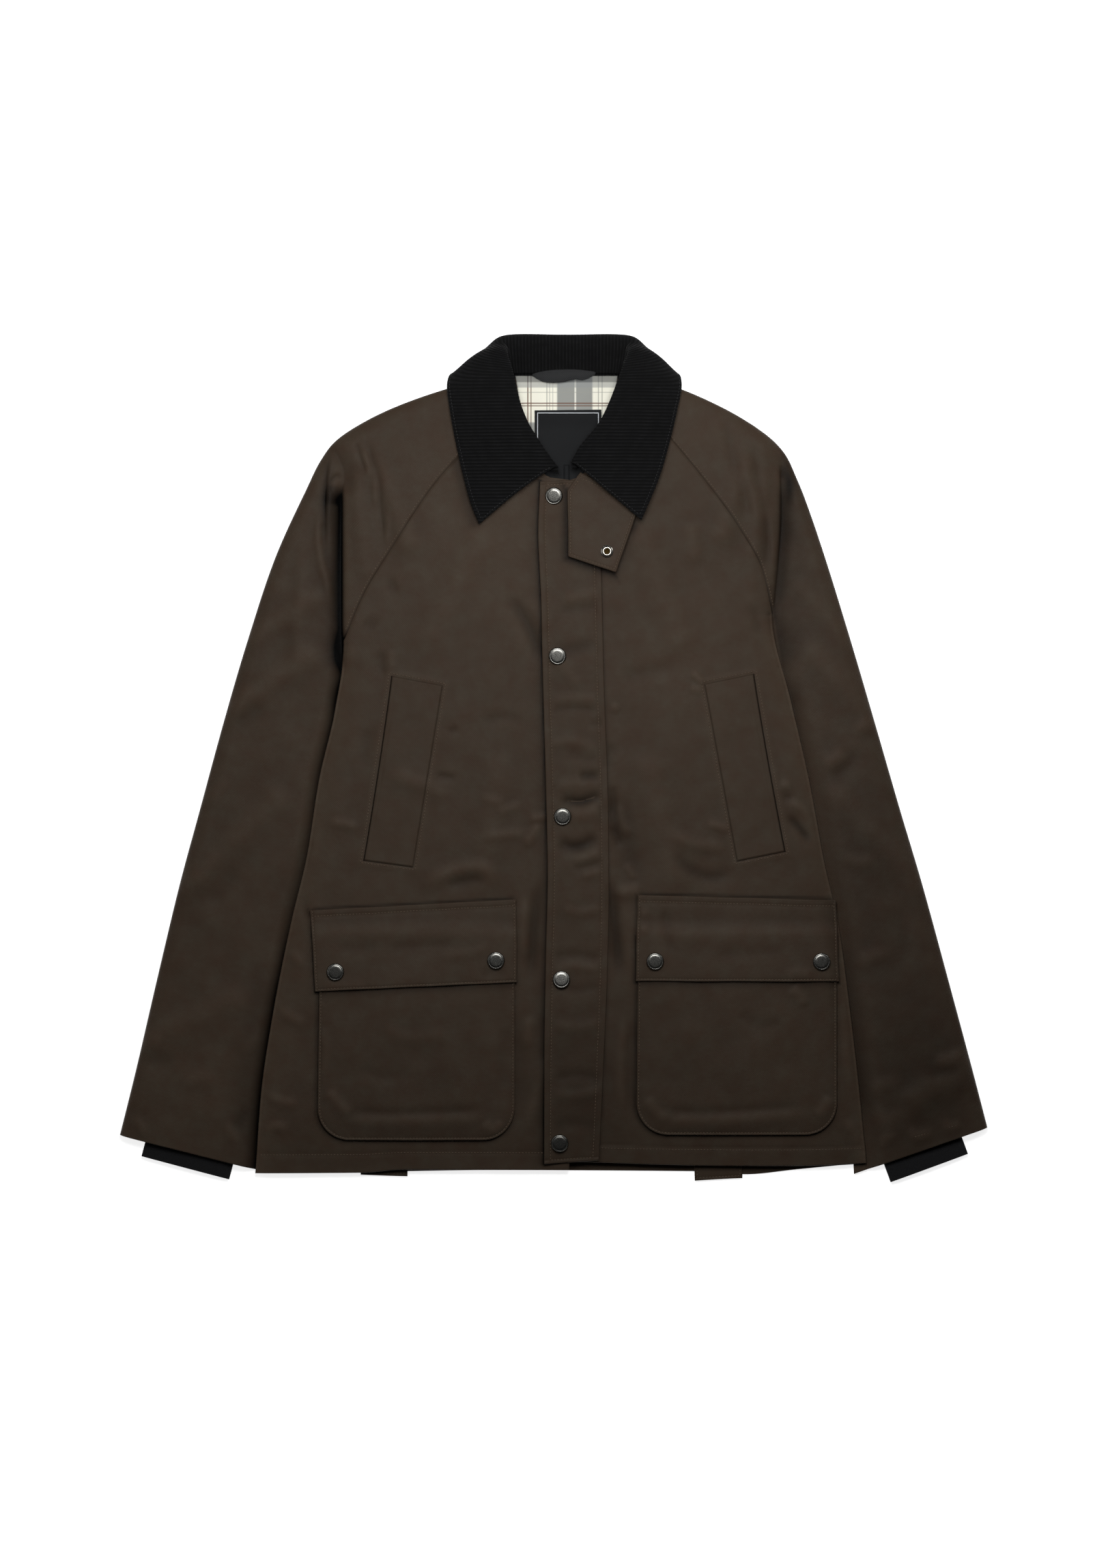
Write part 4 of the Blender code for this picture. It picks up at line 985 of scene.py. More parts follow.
def flat_area(across: Array, along: Array, lay: Lay) -> float:
    """Area of a laid sheet in square metres, measured on a grid of its keys."""
    a, b = np.meshgrid(np.linspace(across[0], across[-1], 60), np.linspace(along[0], along[-1], 60))
    laid = lay(a.ravel(), b.ravel())
    x, y, z = (part.reshape(a.shape) * MM for part in (laid.x, laid.y, laid.z))
    one = np.stack([np.diff(part, axis=1)[:-1] for part in (x, y, z)])
    two = np.stack([np.diff(part, axis=0)[:, :-1] for part in (x, y, z)])
    return float(np.linalg.norm(np.cross(one, two, axis=0), axis=0).sum())


def srgb(colour: str) -> tuple[float, float, float, float]:
    """Linear colour of an sRGB hex value."""
    parts = [int(colour[k:k + 2], 16) / 255 for k in (1, 3, 5)]
    linear = [c / 12.92 if c <= 0.04045 else ((c + 0.055) / 1.055) ** 2.4 for c in parts]
    return (*linear, 1.0)


def feed(tree: Tree, target: Node, inputs: dict) -> None:
    """Sets a node's inputs by name or number, or links them to a socket or to a node's first output."""
    for key, value in inputs.items():
        if isinstance(value, Node):
            value = value.outputs[0]
        if isinstance(value, Socket):
            tree.links.new(value, target.inputs[key])
        else:
            target.inputs[key].default_value = value


def node(tree: Tree, kind: str, inputs: dict, stops: Sequence[tuple[float, str]] = (),
         **settings: object) -> Node:
    """Adds a node with its settings and links.

    Args:
        tree: node tree.
        kind: node type without its ShaderNode prefix.
        inputs: values, output sockets or nodes by input name or number.
        stops: places and sRGB hex colours, where it has a colour ramp.
        **settings: properties to set.

    Returns:
        The node.
    """
    made = tree.nodes.new("ShaderNode" + kind)
    for key, value in settings.items():
        setattr(made, key, value)
    if stops:
        elements = made.color_ramp.elements
        while len(elements) < len(stops):
            elements.new(1.0)
        for element, (place, colour) in zip(elements, stops):
            element.position = place
            element.color = srgb(colour)
    feed(tree, made, inputs)
    return made


@dataclass(frozen=True)
class Finish:
    """A material, made once."""

    name: str

    def material(self) -> bpy.types.Material:
        """The material, made at its first use."""
        found = bpy.data.materials.get(self.name)
        if found is not None:
            return found
        made = bpy.data.materials.new(self.name)
        made.use_nodes = True
        self.dress(made.node_tree, made.node_tree.nodes["Principled BSDF"])
        return made

    def dress(self, tree: Tree, shader: Node) -> None:
        """Builds the nodes of the finish."""
        raise NotImplementedError

    def mapped(self, tree: Tree, across: float, along: float = 0.0, source: str = "UV") -> Node:
        """Weave or object coordinates, in steps of a real size.

        Args:
            tree: node tree.
            across: repeats for each metre.
            along: repeats for each metre along Y, where they differ.
            source: output of the Texture Coordinate node.

        Returns:
            The node that scales them.
        """
        place, scale = node(tree, "TexCoord", {}).outputs[source], (across, along or across, across)
        return node(tree, "Mapping", {"Vector": place, "Scale": scale})


@dataclass(frozen=True)
class WaxedCotton(Finish):
    """Cotton twill woven in brown and padded with wax: a dark, low satin surface with cloudy wax marks."""

    name: str = "waxed cotton twill"
    deep: str = "#3a2e25"
    middle: str = "#3b3128"
    pale: str = "#3d352c"
    lint: str = "#6b6256"
    roughness: float = 0.5

    def dress(self, tree: Tree, shader: Node) -> None:
        """Cloudy wax tones, painted light and shade from the tone attribute (paler on ridges, where the wax
        also pales), fine twill grain, lint flecks, and bump at two sizes.
        """
        clouds = node(tree, "TexNoise", {"Vector": self.mapped(tree, 12, source="Object"), "Detail": 6.0,
                                         "Roughness": 0.62})
        tones = node(tree, "ValToRGB", {"Fac": clouds},
                     ((0.3, self.deep), (0.5, self.middle), (0.72, self.pale)))
        # twill lines 0.9 mm apart, coarser than the real 0.4 mm so that they show
        twill = node(tree, "TexWave", {"Vector": self.mapped(tree, 350), "Scale": 1.0, "Distortion": 1.5,
                                       "Detail Scale": 1.5}, bands_direction="DIAGONAL").outputs["Fac"]
        grain = node(tree, "TexNoise", {"Vector": self.mapped(tree, 700)})
        threads = node(tree, "Math", {0: twill, 1: grain}, operation="ADD")
        shade = node(tree, "MapRange", {"Value": threads, "From Min": 0.4, "From Max": 1.6,
                                        "To Min": 0.92, "To Max": 1.08})
        # painted light and shade, carried in the tone attribute
        painted_light_and_shade = node(tree, "Attribute", {}, attribute_name="tone").outputs["Fac"]
        change = node(tree, "Math", {0: painted_light_and_shade, 1: 1.0}, operation="ADD")
        weight = node(tree, "Math", {0: change, 1: shade}, operation="MULTIPLY")
        woven = node(tree, "VectorMath", {0: tones, "Scale": weight}, operation="SCALE")
        spots = node(tree, "TexVoronoi", {"Vector": self.mapped(tree, 38)})
        fleck = node(tree, "Math", {0: spots, 1: 0.018}, operation="LESS_THAN")
        colour = node(tree, "Mix", {0: fleck, 6: woven, 7: srgb(self.lint)}, data_type="RGBA").outputs[2]
        wax = node(tree, "TexNoise", {"Vector": self.mapped(tree, 45, source="Object"), "Detail": 4.0})
        rough = node(tree, "MapRange", {"Value": wax, "To Min": self.roughness - 0.08,
                                        "To Max": self.roughness + 0.10})
        soft = node(tree, "Bump", {"Strength": 0.3, "Distance": 0.6 * MM, "Height": wax})
        fine = node(tree, "Bump", {"Strength": 0.25, "Distance": 0.25 * MM, "Height": threads,
                                   "Normal": soft})
        feed(tree, shader, {"Base Color": colour, "Roughness": rough, "Specular IOR Level": 0.05,
                            "Sheen Weight": 0.005, "Sheen Roughness": 0.5, "Normal": fine})


@dataclass(frozen=True)
class Corduroy(Finish):
    """Black cotton corduroy: cut pile in round wales that catch the light along their tops, where a highlight
    is also painted.
    """

    name: str = "cut pile corduroy"
    wale: float = 3.2  # the real pitch is 2.5 mm, a little too fine to show

    def dress(self, tree: Tree, shader: Node) -> None:
        """Painted highlight along the wale tops, in uneven patches, with a soft nap."""
        # a wave texture repeats every pi / 10 units, so the weave is scaled to one repeat a wale
        place = self.mapped(tree, math.pi / 10 / (self.wale * MM), 1)
        wales = node(tree, "TexWave", {"Vector": place, "Scale": 1.0}).outputs["Fac"]
        nap = node(tree, "TexNoise", {"Vector": self.mapped(tree, 420, 160), "Detail": 3.0})
        patch = node(tree, "TexNoise", {"Vector": self.mapped(tree, 18, 26), "Detail": 3.0})
        # painted highlight along the wale tops, patchy across the collar
        wale_highlight = node(tree, "Math", {0: wales, 1: patch}, operation="MULTIPLY")
        tones = node(tree, "ValToRGB", {"Fac": wale_highlight}, ((0.0, "#040404"), (0.35, "#0a0a0b"), (0.75, "#151516")))
        furry = node(tree, "Bump", {"Strength": 0.3, "Distance": 0.3 * MM, "Height": nap})
        ribbed = node(tree, "Bump", {"Strength": 0.9, "Distance": 0.9 * MM, "Height": wales, "Normal": furry})
        feed(tree, shader, {"Base Color": tones, "Roughness": 0.85, "Specular IOR Level": 0.15,
                            "Sheen Weight": 0.03, "Sheen Roughness": 0.4, "Normal": ribbed})


@dataclass(frozen=True)
class RibKnit(Finish):
    """Black wool knitted in ribs: matt, with a little fuzz."""

    name: str = "rib knitted wool"

    def dress(self, tree: Tree, shader: Node) -> None:
        """Loops in rows 1.6 mm apart, painted paler on their raised middles and darker in the gaps between,
        and fuzz.
        """
        loops = node(tree, "TexVoronoi", {"Vector": self.mapped(tree, 620, 500)})
        # painted highlight on the raised loops and painted shade between them
        tones = node(tree, "ValToRGB", {"Fac": loops}, ((0.0, "#1d1d20"), (0.7, "#0b0b0c")))
        raised = node(tree, "Bump", {"Strength": 0.6, "Distance": 0.4 * MM, "Height": loops}, invert=True)
        feed(tree, shader, {"Base Color": tones, "Roughness": 0.9, "Specular IOR Level": 0.2,
                            "Sheen Weight": 0.1, "Normal": raised})


class Stripe(NamedTuple):
    """A coloured stripe of the check: middle, half width, softness in mm, colour and strength."""

    middle: float
    half_width: float
    soft: float
    colour: str
    strength: float


@dataclass(frozen=True)
class CheckLining(Finish):
    """Brushed cotton shirting woven in a plain check: matt and softly blurred where the stripes cross."""

    name: str = "brushed check cotton"
    ground: str = "#f4f2e2"
    warp: tuple[Stripe, ...] = (
        Stripe(-24.3, 0.6, 0.3, "#6b4a3a", 0.85), Stripe(-21.3, 0.6, 0.3, "#6b4a3a", 0.7),
        Stripe(-6.4, 0.45, 0.3, "#8a8b86", 0.7), Stripe(-3.8, 0.35, 0.3, "#8a8b86", 0.6),
        Stripe(-0.8, 0.35, 0.3, "#8a8b86", 0.5),
        Stripe(19.8, 16.6, 1.0, "#6f7374", 0.8), Stripe(20.3, 0.8, 0.4, "#eceade", 0.85),
        Stripe(42.0, 0.5, 0.3, "#8a8b86", 0.6), Stripe(45.5, 0.5, 0.3, "#8a8b86", 0.6),
    )
    weft: tuple[Stripe, ...] = (
        Stripe(333.7, 0.6, 0.3, "#6b4a3a", 0.85), Stripe(331.3, 0.6, 0.3, "#6b4a3a", 0.7),
        Stripe(357.2, 4.0, 0.8, "#4c4f51", 0.8), Stripe(350.8, 2.4, 0.8, "#8f9292", 0.6),
        Stripe(344.0, 0.4, 0.3, "#9a9a92", 0.5), Stripe(304.0, 12.0, 1.2, "#6f7374", 0.75),
    )

    def stripe(self, tree: Tree, axis: Socket, stripe: Stripe, under: Socket) -> Socket:
        """Lays one stripe over a colour, with soft edges."""
        away = node(tree, "Math", {0: axis, 1: stripe.middle * MM}, operation="SUBTRACT")
        size = node(tree, "Math", {0: away}, operation="ABSOLUTE")
        mask = node(tree, "MapRange", {"Value": size, "From Min": (stripe.half_width + stripe.soft) * MM,
                                       "From Max": (stripe.half_width - stripe.soft) * MM,
                                       "To Min": 0.0, "To Max": stripe.strength},
                    interpolation_type="SMOOTHSTEP")
        return node(tree, "Mix", {0: mask, 6: under, 7: srgb(stripe.colour)}, data_type="RGBA").outputs[2]

    def dress(self, tree: Tree, shader: Node) -> None:
        """Warp and weft stripes on a cream ground, with a brushed twill grain."""
        axes = node(tree, "SeparateXYZ", {0: node(tree, "TexCoord", {}).outputs["UV"]}).outputs
        colour = node(tree, "RGB", {}).outputs[0]
        colour.default_value = srgb(self.ground)
        for axis, stripes in (("X", self.warp), ("Y", self.weft)):
            for stripe in stripes:
                colour = self.stripe(tree, axes[axis], stripe, colour)
        fuzz = node(tree, "TexNoise", {"Vector": self.mapped(tree, 900), "Detail": 3.0})
        shade = node(tree, "MapRange", {"Value": fuzz, "From Min": 0.3, "From Max": 0.7,
                                        "To Min": 0.86, "To Max": 1.05})
        woven = node(tree, "VectorMath", {0: colour, "Scale": shade}, operation="SCALE")
        brushed = node(tree, "Bump", {"Strength": 0.3, "Distance": 0.3 * MM, "Height": fuzz})
        feed(tree, shader, {"Base Color": woven, "Roughness": 0.9, "Normal": brushed})


@dataclass(frozen=True)
class WovenLabel(Finish):
    """Black satin-woven label, bare but for a thin pale frame woven inside its edge."""

    name: str = "woven satin label"
    low: tuple[float, float] = (-17.9, 257.0)
    high: tuple[float, float] = (44.8, 327.4)
    border: float = 2.8
    frame_width: float = 0.7

    def dress(self, tree: Tree, shader: Node) -> None:
        """The pale frame on black satin threads."""
        axes = node(tree, "SeparateXYZ", {0: node(tree, "TexCoord", {}).outputs["UV"]}).outputs
        lines = []
        for axis, low, high in zip("XY", self.low, self.high):
            away = node(tree, "Math", {0: axes[axis], 1: (low + high) / 2 * MM}, operation="SUBTRACT")
            size = node(tree, "Math", {0: away}, operation="ABSOLUTE")
            half = ((high - low) / 2 - self.border) * MM
            lines.append(node(tree, "Math", {0: size, 1: half}, operation="SUBTRACT"))
        box = node(tree, "Math", dict(enumerate(lines)), operation="MAXIMUM")
        band = node(tree, "Math", {0: box}, operation="ABSOLUTE")
        on_frame = node(tree, "Math", {0: band, 1: self.frame_width / 2 * MM}, operation="LESS_THAN")
        threads = node(tree, "TexNoise", {"Vector": self.mapped(tree, 500, 2400)})
        satin = node(tree, "ValToRGB", {"Fac": threads}, ((0.3, "#0e0f10"), (0.7, "#18191b")))
        colour = node(tree, "Mix", {0: on_frame, 6: satin, 7: srgb("#c4c8cc")}, data_type="RGBA").outputs[2]
        raised = node(tree, "Bump", {"Strength": 0.3, "Distance": 0.2 * MM, "Height": threads})
        feed(tree, shader, {"Base Color": colour, "Roughness": 0.7, "Specular IOR Level": 0.15,
                            "Normal": raised})


@dataclass(frozen=True)
class Tape(Finish):
    """Grey-black herringbone tape, woven tight and matt."""

    name: str = "herringbone tape"

    def dress(self, tree: Tree, shader: Node) -> None:
        """Zigzag ribs 1 mm apart."""
        zigzag = node(tree, "TexWave", {"Vector": self.mapped(tree, 320), "Scale": 1.0},
                      bands_direction="DIAGONAL", wave_profile="TRI").outputs["Fac"]
        tones = node(tree, "ValToRGB", {"Fac": zigzag}, ((0.0, "#0d0e0f"), (1.0, "#191a1c")))
        raised = node(tree, "Bump", {"Strength": 0.5, "Distance": 0.3 * MM, "Height": zigzag})
        feed(tree, shader, {"Base Color": tones, "Roughness": 0.8, "Normal": raised})


@dataclass(frozen=True)
class Metal(Finish):
    """Plated brass of a snap, its plate burnished unevenly."""

    name: str = "burnished gunmetal plate"
    dark: str = "#595855"
    bright: str = "#84837e"
    roughness: float = 0.24

    def dress(self, tree: Tree, shader: Node) -> None:
        """Burnish marks and fine scratches."""
        marks = node(tree, "TexNoise", {"Vector": self.mapped(tree, 500, source="Object"), "Detail": 6.0,
                                        "Roughness": 0.7})
        tones = node(tree, "ValToRGB", {"Fac": marks}, ((0.35, self.dark), (0.65, self.bright)))
        rough = node(tree, "MapRange", {"Value": marks, "To Min": self.roughness - 0.1,
                                        "To Max": self.roughness + 0.15})
        scratched = node(tree, "Bump", {"Strength": 0.12, "Distance": 0.2 * MM, "Height": marks})
        feed(tree, shader, {"Base Color": tones, "Metallic": 1.0, "Roughness": rough, "Normal": scratched})


@dataclass(frozen=True)
class Thread(Finish):
    """Spun polyester sewing thread with a twist."""

    name: str = "sewing thread"
    colour: str = "#5a4938"
    dark: str = "#403428"

    def dress(self, tree: Tree, shader: Node) -> None:
        """Slight change of tone from stitch to stitch."""
        change = node(tree, "TexNoise", {"Vector": self.mapped(tree, 300, source="Object")})
        tones = node(tree, "ValToRGB", {"Fac": change}, ((0.3, self.dark), (0.7, self.colour)))
        feed(tree, shader, {"Base Color": tones, "Roughness": 0.6})


@dataclass(frozen=True)
class PaleFloor(Finish):
    """Matt white paper sweep."""

    name: str = "white paper sweep"

    def dress(self, tree: Tree, shader: Node) -> None:
        """Almost even white that glows a little, as paper lit from behind does."""
        fibre = node(tree, "TexNoise", {"Vector": self.mapped(tree, 60, source="Object")})
        tones = node(tree, "ValToRGB", {"Fac": fibre}, ((0.0, "#f4f4f4"), (1.0, "#f8f8f8")))
        feed(tree, shader, {"Base Color": tones, "Roughness": 0.9, "Emission Color": WHITE,
                            "Emission Strength": 0.8})


WAXED = WaxedCotton()
BROWN_THREAD = Thread()
BLACK_THREAD = Thread("black sewing thread", "#19191b", "#121213")
GUNMETAL = Metal()
NICKEL = Metal("bright nickel plate", "#8f8c85", "#bdb9b1", 0.24)
# brass of the socket's stud, darkened as a painted shade of the well that it covers
BRASS_AND_WELL_SHADE = Metal("brass stud", "#2e2413", "#4a3a1c", 0.45)


@dataclass
class Stitching:
    """Lines of stitches, each a small rounded thread that dips at both ends."""

    name: str
    finish: Finish = BROWN_THREAD
    slot: str = "waxed_cotton"
    pitch: float = 3.0
    length: float = 2.2
    width: float = 0.62
    lines: list[Array] = field(default_factory=list)

    def sew(self, line: Array) -> None:
        """Adds a line of points on the cloth's upper side."""
        self.lines.append(np.asarray(line, float))

    def build(self) -> Piece:
        """Joins all stitches into one piece."""
        mesh = bmesh.new()
        for line in self.lines:
            run = np.concatenate([[0], np.cumsum(np.linalg.norm(np.diff(line, axis=0), axis=1))])
            for middle in np.arange(self.pitch / 2, run[-1], self.pitch):
                ends = (Vector([np.interp(middle + away, run, line[:, k]) for k in range(3)])
                        for away in (-self.length / 2, self.length / 2))
                self.add_stitch(mesh, *ends)
        return seat_piece(link_mesh(self.name, mesh, self.finish), self.slot)

    def add_stitch(self, mesh: bmesh.types.BMesh, start: Vector, end: Vector) -> None:
        """One stitch between two points."""
        along = (end - start).normalized()
        side = Vector((0, 0, 1)).cross(along).normalized()
        up = along.cross(side)
        turn = Matrix((along, side, up)).transposed().to_4x4()
        size = Matrix.Diagonal(((end - start).length / 2 * 1.15, self.width / 2 * 1.2, self.width * 0.42, 1))
        place = Matrix.Translation(((start + end) / 2 + up * 0.08) * MM)
        bmesh.ops.create_icosphere(mesh, subdivisions=1, radius=1.0,
                                   matrix=place @ Matrix.Scale(MM, 4) @ turn @ size)


def turned(name: str, profile: Sequence[tuple[float, float]], foot: tuple[float, float, float],
           finish: Finish, steps: int = 48, lean: tuple[float, float] = (0.0, 0.0)) -> Piece:
    """Turned metal piece.

    Args:
        name: piece name.
        profile: (radius, height) points from the top's middle down to the foot's middle.
        foot: middle of its foot.
        finish: material.
        steps: steps of the full turn.
        lean: how far it leans towards +X and +Y, in radians.

    Returns:
        The piece, in place.
    """
    mesh = bmesh.new()
    verts = [mesh.verts.new((radius * MM, 0, height * MM)) for radius, height in profile]
    edges = [mesh.edges.new(pair) for pair in zip(verts, verts[1:])]
    bmesh.ops.spin(mesh, geom=verts + edges, cent=(0, 0, 0), axis=(0, 0, 1), angle=2 * math.pi,
                   steps=steps, use_merge=True)
    bmesh.ops.remove_doubles(mesh, verts=mesh.verts, dist=1e-6)
    bmesh.ops.recalc_face_normals(mesh, faces=mesh.faces)
    tilt = Matrix.Rotation(lean[0], 3, "Y") @ Matrix.Rotation(-lean[1], 3, "X")
    bmesh.ops.rotate(mesh, verts=mesh.verts, cent=(0, 0, 0), matrix=tilt)
    bmesh.ops.translate(mesh, verts=mesh.verts, vec=Vector(foot) * MM)
    return link_mesh(name, mesh, finish)


def seat(height: Surface, x: float, y: float, radius: float) -> float:
    """Highest point of a surface under a round piece."""
    turns = np.radians(np.arange(8) * 45)
    xs = np.concatenate([[x], x + radius * np.cos(turns)])
    ys = np.concatenate([[y], y + radius * np.sin(turns)])
    return float(height(xs, ys).max())


# Profiles in shares of a radius and a height, from the top's middle down to the foot's.
CAP_PROFILE = ((0, 0.92), (0.3, 0.918), (0.56, 0.91), (0.76, 0.895), (0.8, 0.84), (0.84, 0.88), (0.89, 0.88),
               (0.93, 0.8), (0.97, 0.62), (1, 0.36), (0.98, 0.1), (0.9, 0), (0.4, 0), (0, 0))
RING_PROFILE = ((0, 0.2), (0.4, 0.2), (0.44, 0.6), (0.48, 0.9), (0.56, 1), (0.66, 0.97), (0.75, 0.82),
                (0.8, 0.5), (0.86, 0.4), (0.96, 0.38), (1, 0.22), (0.98, 0.05), (0.9, 0), (0, 0))
STUD_PROFILE = ((0, 0.5), (0.1, 0.47), (0.15, 0.36), (0.39, 0.3), (0.39, 0.1), (0, 0.1))


def scaled(profile: Corners, radius: float, height: float) -> Corners:
    """Profile in millimetres."""
    return [(across * radius, up * height) for across, up in profile]


@dataclass(frozen=True)
class PressSnap:
    """Domed snap cap with a raised rim ring, its face left plain."""

    node_name: str
    foot: tuple[float, float, float]
    radius: float = 8.25
    height: float = 3.2
    lean: tuple[float, float] = (0.0, 0.0)

    def build(self) -> None:
        """Turns the cap and lays it in place of its node."""
        cap = turned(self.node_name + "_cap", scaled(CAP_PROFILE, self.radius, self.height), self.foot,
                     GUNMETAL, lean=self.lean)
        seat_piece(cap, "gunmetal", self.node_name)


def corner_place(corners: Corners, u: Array, v: Array) -> tuple[Array, Array]:
    """Place in a four-sided patch: u along its lower side, v up."""
    return tuple(mix(mix(a, b, u), mix(d, c, u), v) for a, b, c, d in zip(*corners))


@dataclass
class SewnPatch:
    """Four-sided piece with turned, stitched edges, laid on what is under it."""

    piece: str
    node_name: str
    corners: Corners
    height: Callable[[Array, Array, Array, Array], Array]
    rests_on: Sequence[str]
    wall: float = WALL
    finish: Finish = WAXED
    slot: str = "waxed_cotton"
    stitch: float = 2.4
    spacing: float = 2.4
    bow: float = 0.6  # how far its sides wander
    top_stitch: float = 0.0  # distance of the stitches from the top edge, where it isn't the other edges'

    @property
    def width(self) -> float:
        """Width between its side edges."""
        (ax, ay), (bx, by), (cx, cy), (dx, dy) = self.corners
        return (math.hypot(bx - ax, by - ay) + math.hypot(cx - dx, cy - dy)) / 2

    @property
    def depth(self) -> float:
        """Length from its lower to its upper edge."""
        (ax, ay), (bx, by), (cx, cy), (dx, dy) = self.corners
        return (math.hypot(dx - ax, dy - ay) + math.hypot(cx - bx, cy - by)) / 2

    def lay(self, across: Array, along: Array) -> Laid:
        """Place of points given in mm from the lower left corner."""
        u, v = across / self.width, along / self.depth
        x, y = corner_place(self.corners, u, v)
        wander = self.bow * ripple(x, y, 70, self.corners[0][0])
        x, y = x + wander, y + 0.6 * wander
        z = self.height(x, y, u, v)
        beside = np.minimum(across, self.width - across)
        full = np.minimum(edge_full(beside, self.stitch, along), edge_full(along, self.stitch, across))
        full = np.minimum(full, edge_full(self.depth - along, self.top_stitch or self.stitch, across))
        return Laid(x, y, z, full, x, y)

    def line(self, *stops: tuple[float, float]) -> Array:
        """Points on its upper side along straight legs between stops in mm from its lower left corner."""
        return np.concatenate([self.lay(*leg).top(self.wall) for leg in legs(stops, 1.5)])

    def build(self, stitching: Optional[Stitching], on_it: Sequence[Piece] = ()) -> None:
        """Builds the patch and stitches it near its edges.

        Args:
            stitching: what its stitches are part of, or None for a patch with none.
            on_it: small pieces that go with its sheet, not used.
        """
        across = near_ends(self.width, FINE_EDGE, self.spacing)
        along = near_ends(self.depth, FINE_EDGE, self.spacing)
        sheet = cloth_sheet(self.piece, self.node_name, across, along, self.lay, self.wall, self.finish,
                            self.slot)
        min(flat_area(across, along, self.lay), self.width * self.depth * MM * MM)
        if stitching is not None:
            s, w, d = self.stitch, self.width, self.depth
            top = d - (self.top_stitch or s)
            stitching.sew(self.line((s, top), (s, s), (w - s, s), (w - s, d - 1)))
            stitching.sew(self.line((w - s, top), (s, top), (s, d - 1)))


@dataclass
class HandWelt(SewnPatch):
    """Welt seen in a turned and stitched window of the front, open along its outer side."""

    outer_low: bool = True
    around: float = 2.2

    def lay(self, across: Array, along: Array) -> Laid:
        """Place in mm from the lower left corner, drawn in a little at the opening."""
        u, v = across / self.width, along / self.depth
        from_opening = across if self.outer_low else self.width - across
        mouth = np.sin(math.pi * np.clip(v, 0, 1)) ** 0.6
        pull = 1.1 * mouth * smooth(from_opening, 6, 0) * (1 if self.outer_low else -1)
        x, y = corner_place(self.corners, u, v)
        edge = np.minimum(np.minimum(across, self.width - across), np.minimum(along, self.depth - along))
        full = 0.22 + 0.6 * smooth(edge, 0, 1.5) - 0.4 * mouth * bell(from_opening - 4.4, 0.8)
        # painted shade in the welt's opening and along its turned edges
        tone = -0.6 * bell(from_opening, 1.3) - 0.35 * bell(edge, 0.9)
        return Laid(x + pull, y, self.height(x, y, u, v), full, x, y, tone)

    def sew_window(self, stitching: Stitching, surface: Surface) -> None:
        """Sews a line on the front all round the window."""
        a, w, d = self.around, self.width, self.depth
        for across, along in legs(((-a, -a), (w + a, -a), (w + a, d + a), (-a, d + a), (-a, -a)), 1.5):
            x, y = corner_place(self.corners, across / w, along / d)
            stitching.sew(np.stack([x, y, surface(x, y)], axis=-1))


@dataclass
class FrontPanel:
    """Front of the body from the side and raglan seam to the centre front."""

    form: JacketForm
    side: Side

    @property
    def top_y(self) -> float:
        """Height of the panel's top row at the raglan seam."""
        return float(SLEEVE[self.side.value][TOP_ROW].front_y)

    def outer(self, v: Array) -> tuple[Array, Array]:
        """Outer end of the row at v, a height that becomes a place along the seam above the underarm."""
        s, start = self.side.value, UNDERARM_Y[self.side.value]
        at = mix(UNDERARM_ROW, TOP_ROW, np.clip((v - start) / (self.top_y - start), 0, 1))
        seam_x, seam_y = self.form.raglan_point(s, at, False)
        low = v < start
        return np.where(low, self.form.side_x(s, v), seam_x - s * 0.1), np.where(low, v, seam_y)

    def lay(self, across: Array, along: Array) -> Laid:
        """Place of a share of the row's width, at height along."""
        s = self.side.value
        outer_x, y = self.outer(along)
        inner_x = np.where(y > NECKLINE[s][0].y, read(NECKLINE[s], y), CENTRE_FRONT_X + s * 0.3)
        x = mix(outer_x, inner_x, across)
        hem_y = read_across(FRONT_HEM[s], x)
        y = y + (hem_y - HEM_Y) * smooth(y, HEM_CURVE_Y, HEM_Y)
        beside = across * np.abs(inner_x - outer_x)
        side_edge = np.where(along < UNDERARM_Y[s], edge_full(beside, 2.2, along), seam_full(beside * 0.7))
        full = np.minimum(side_edge, edge_full(y - hem_y, HEM_DEPTH, x))
        return Laid(x, y, self.form.front_height(x, y), full, x, y, self.form.front_tone(s, x, y))

    def build(self, stitching: Stitching) -> None:
        """Builds the panel and its hem stitches."""
        u = np.concatenate([[0, 0.002, 0.004, 0.007, 0.011, 0.016], np.linspace(0.022, 1, 98)])
        underarm_y = UNDERARM_Y[self.side.value]
        v = np.concatenate([HEM_Y + near_ends(underarm_y - HEM_Y, FINE_EDGE, 2.3),
                            np.linspace(underarm_y, self.top_y, 84)[1:]])
        name = f"front_{self.side.word}"
        sheet = cloth_sheet(name + "_panel", name, u, v, self.lay)
        flat_area(u, v, self.lay)
        stitching.sew(upper_line(self.lay, np.linspace(0.01, 0.99, 160), HEM_Y + HEM_DEPTH))


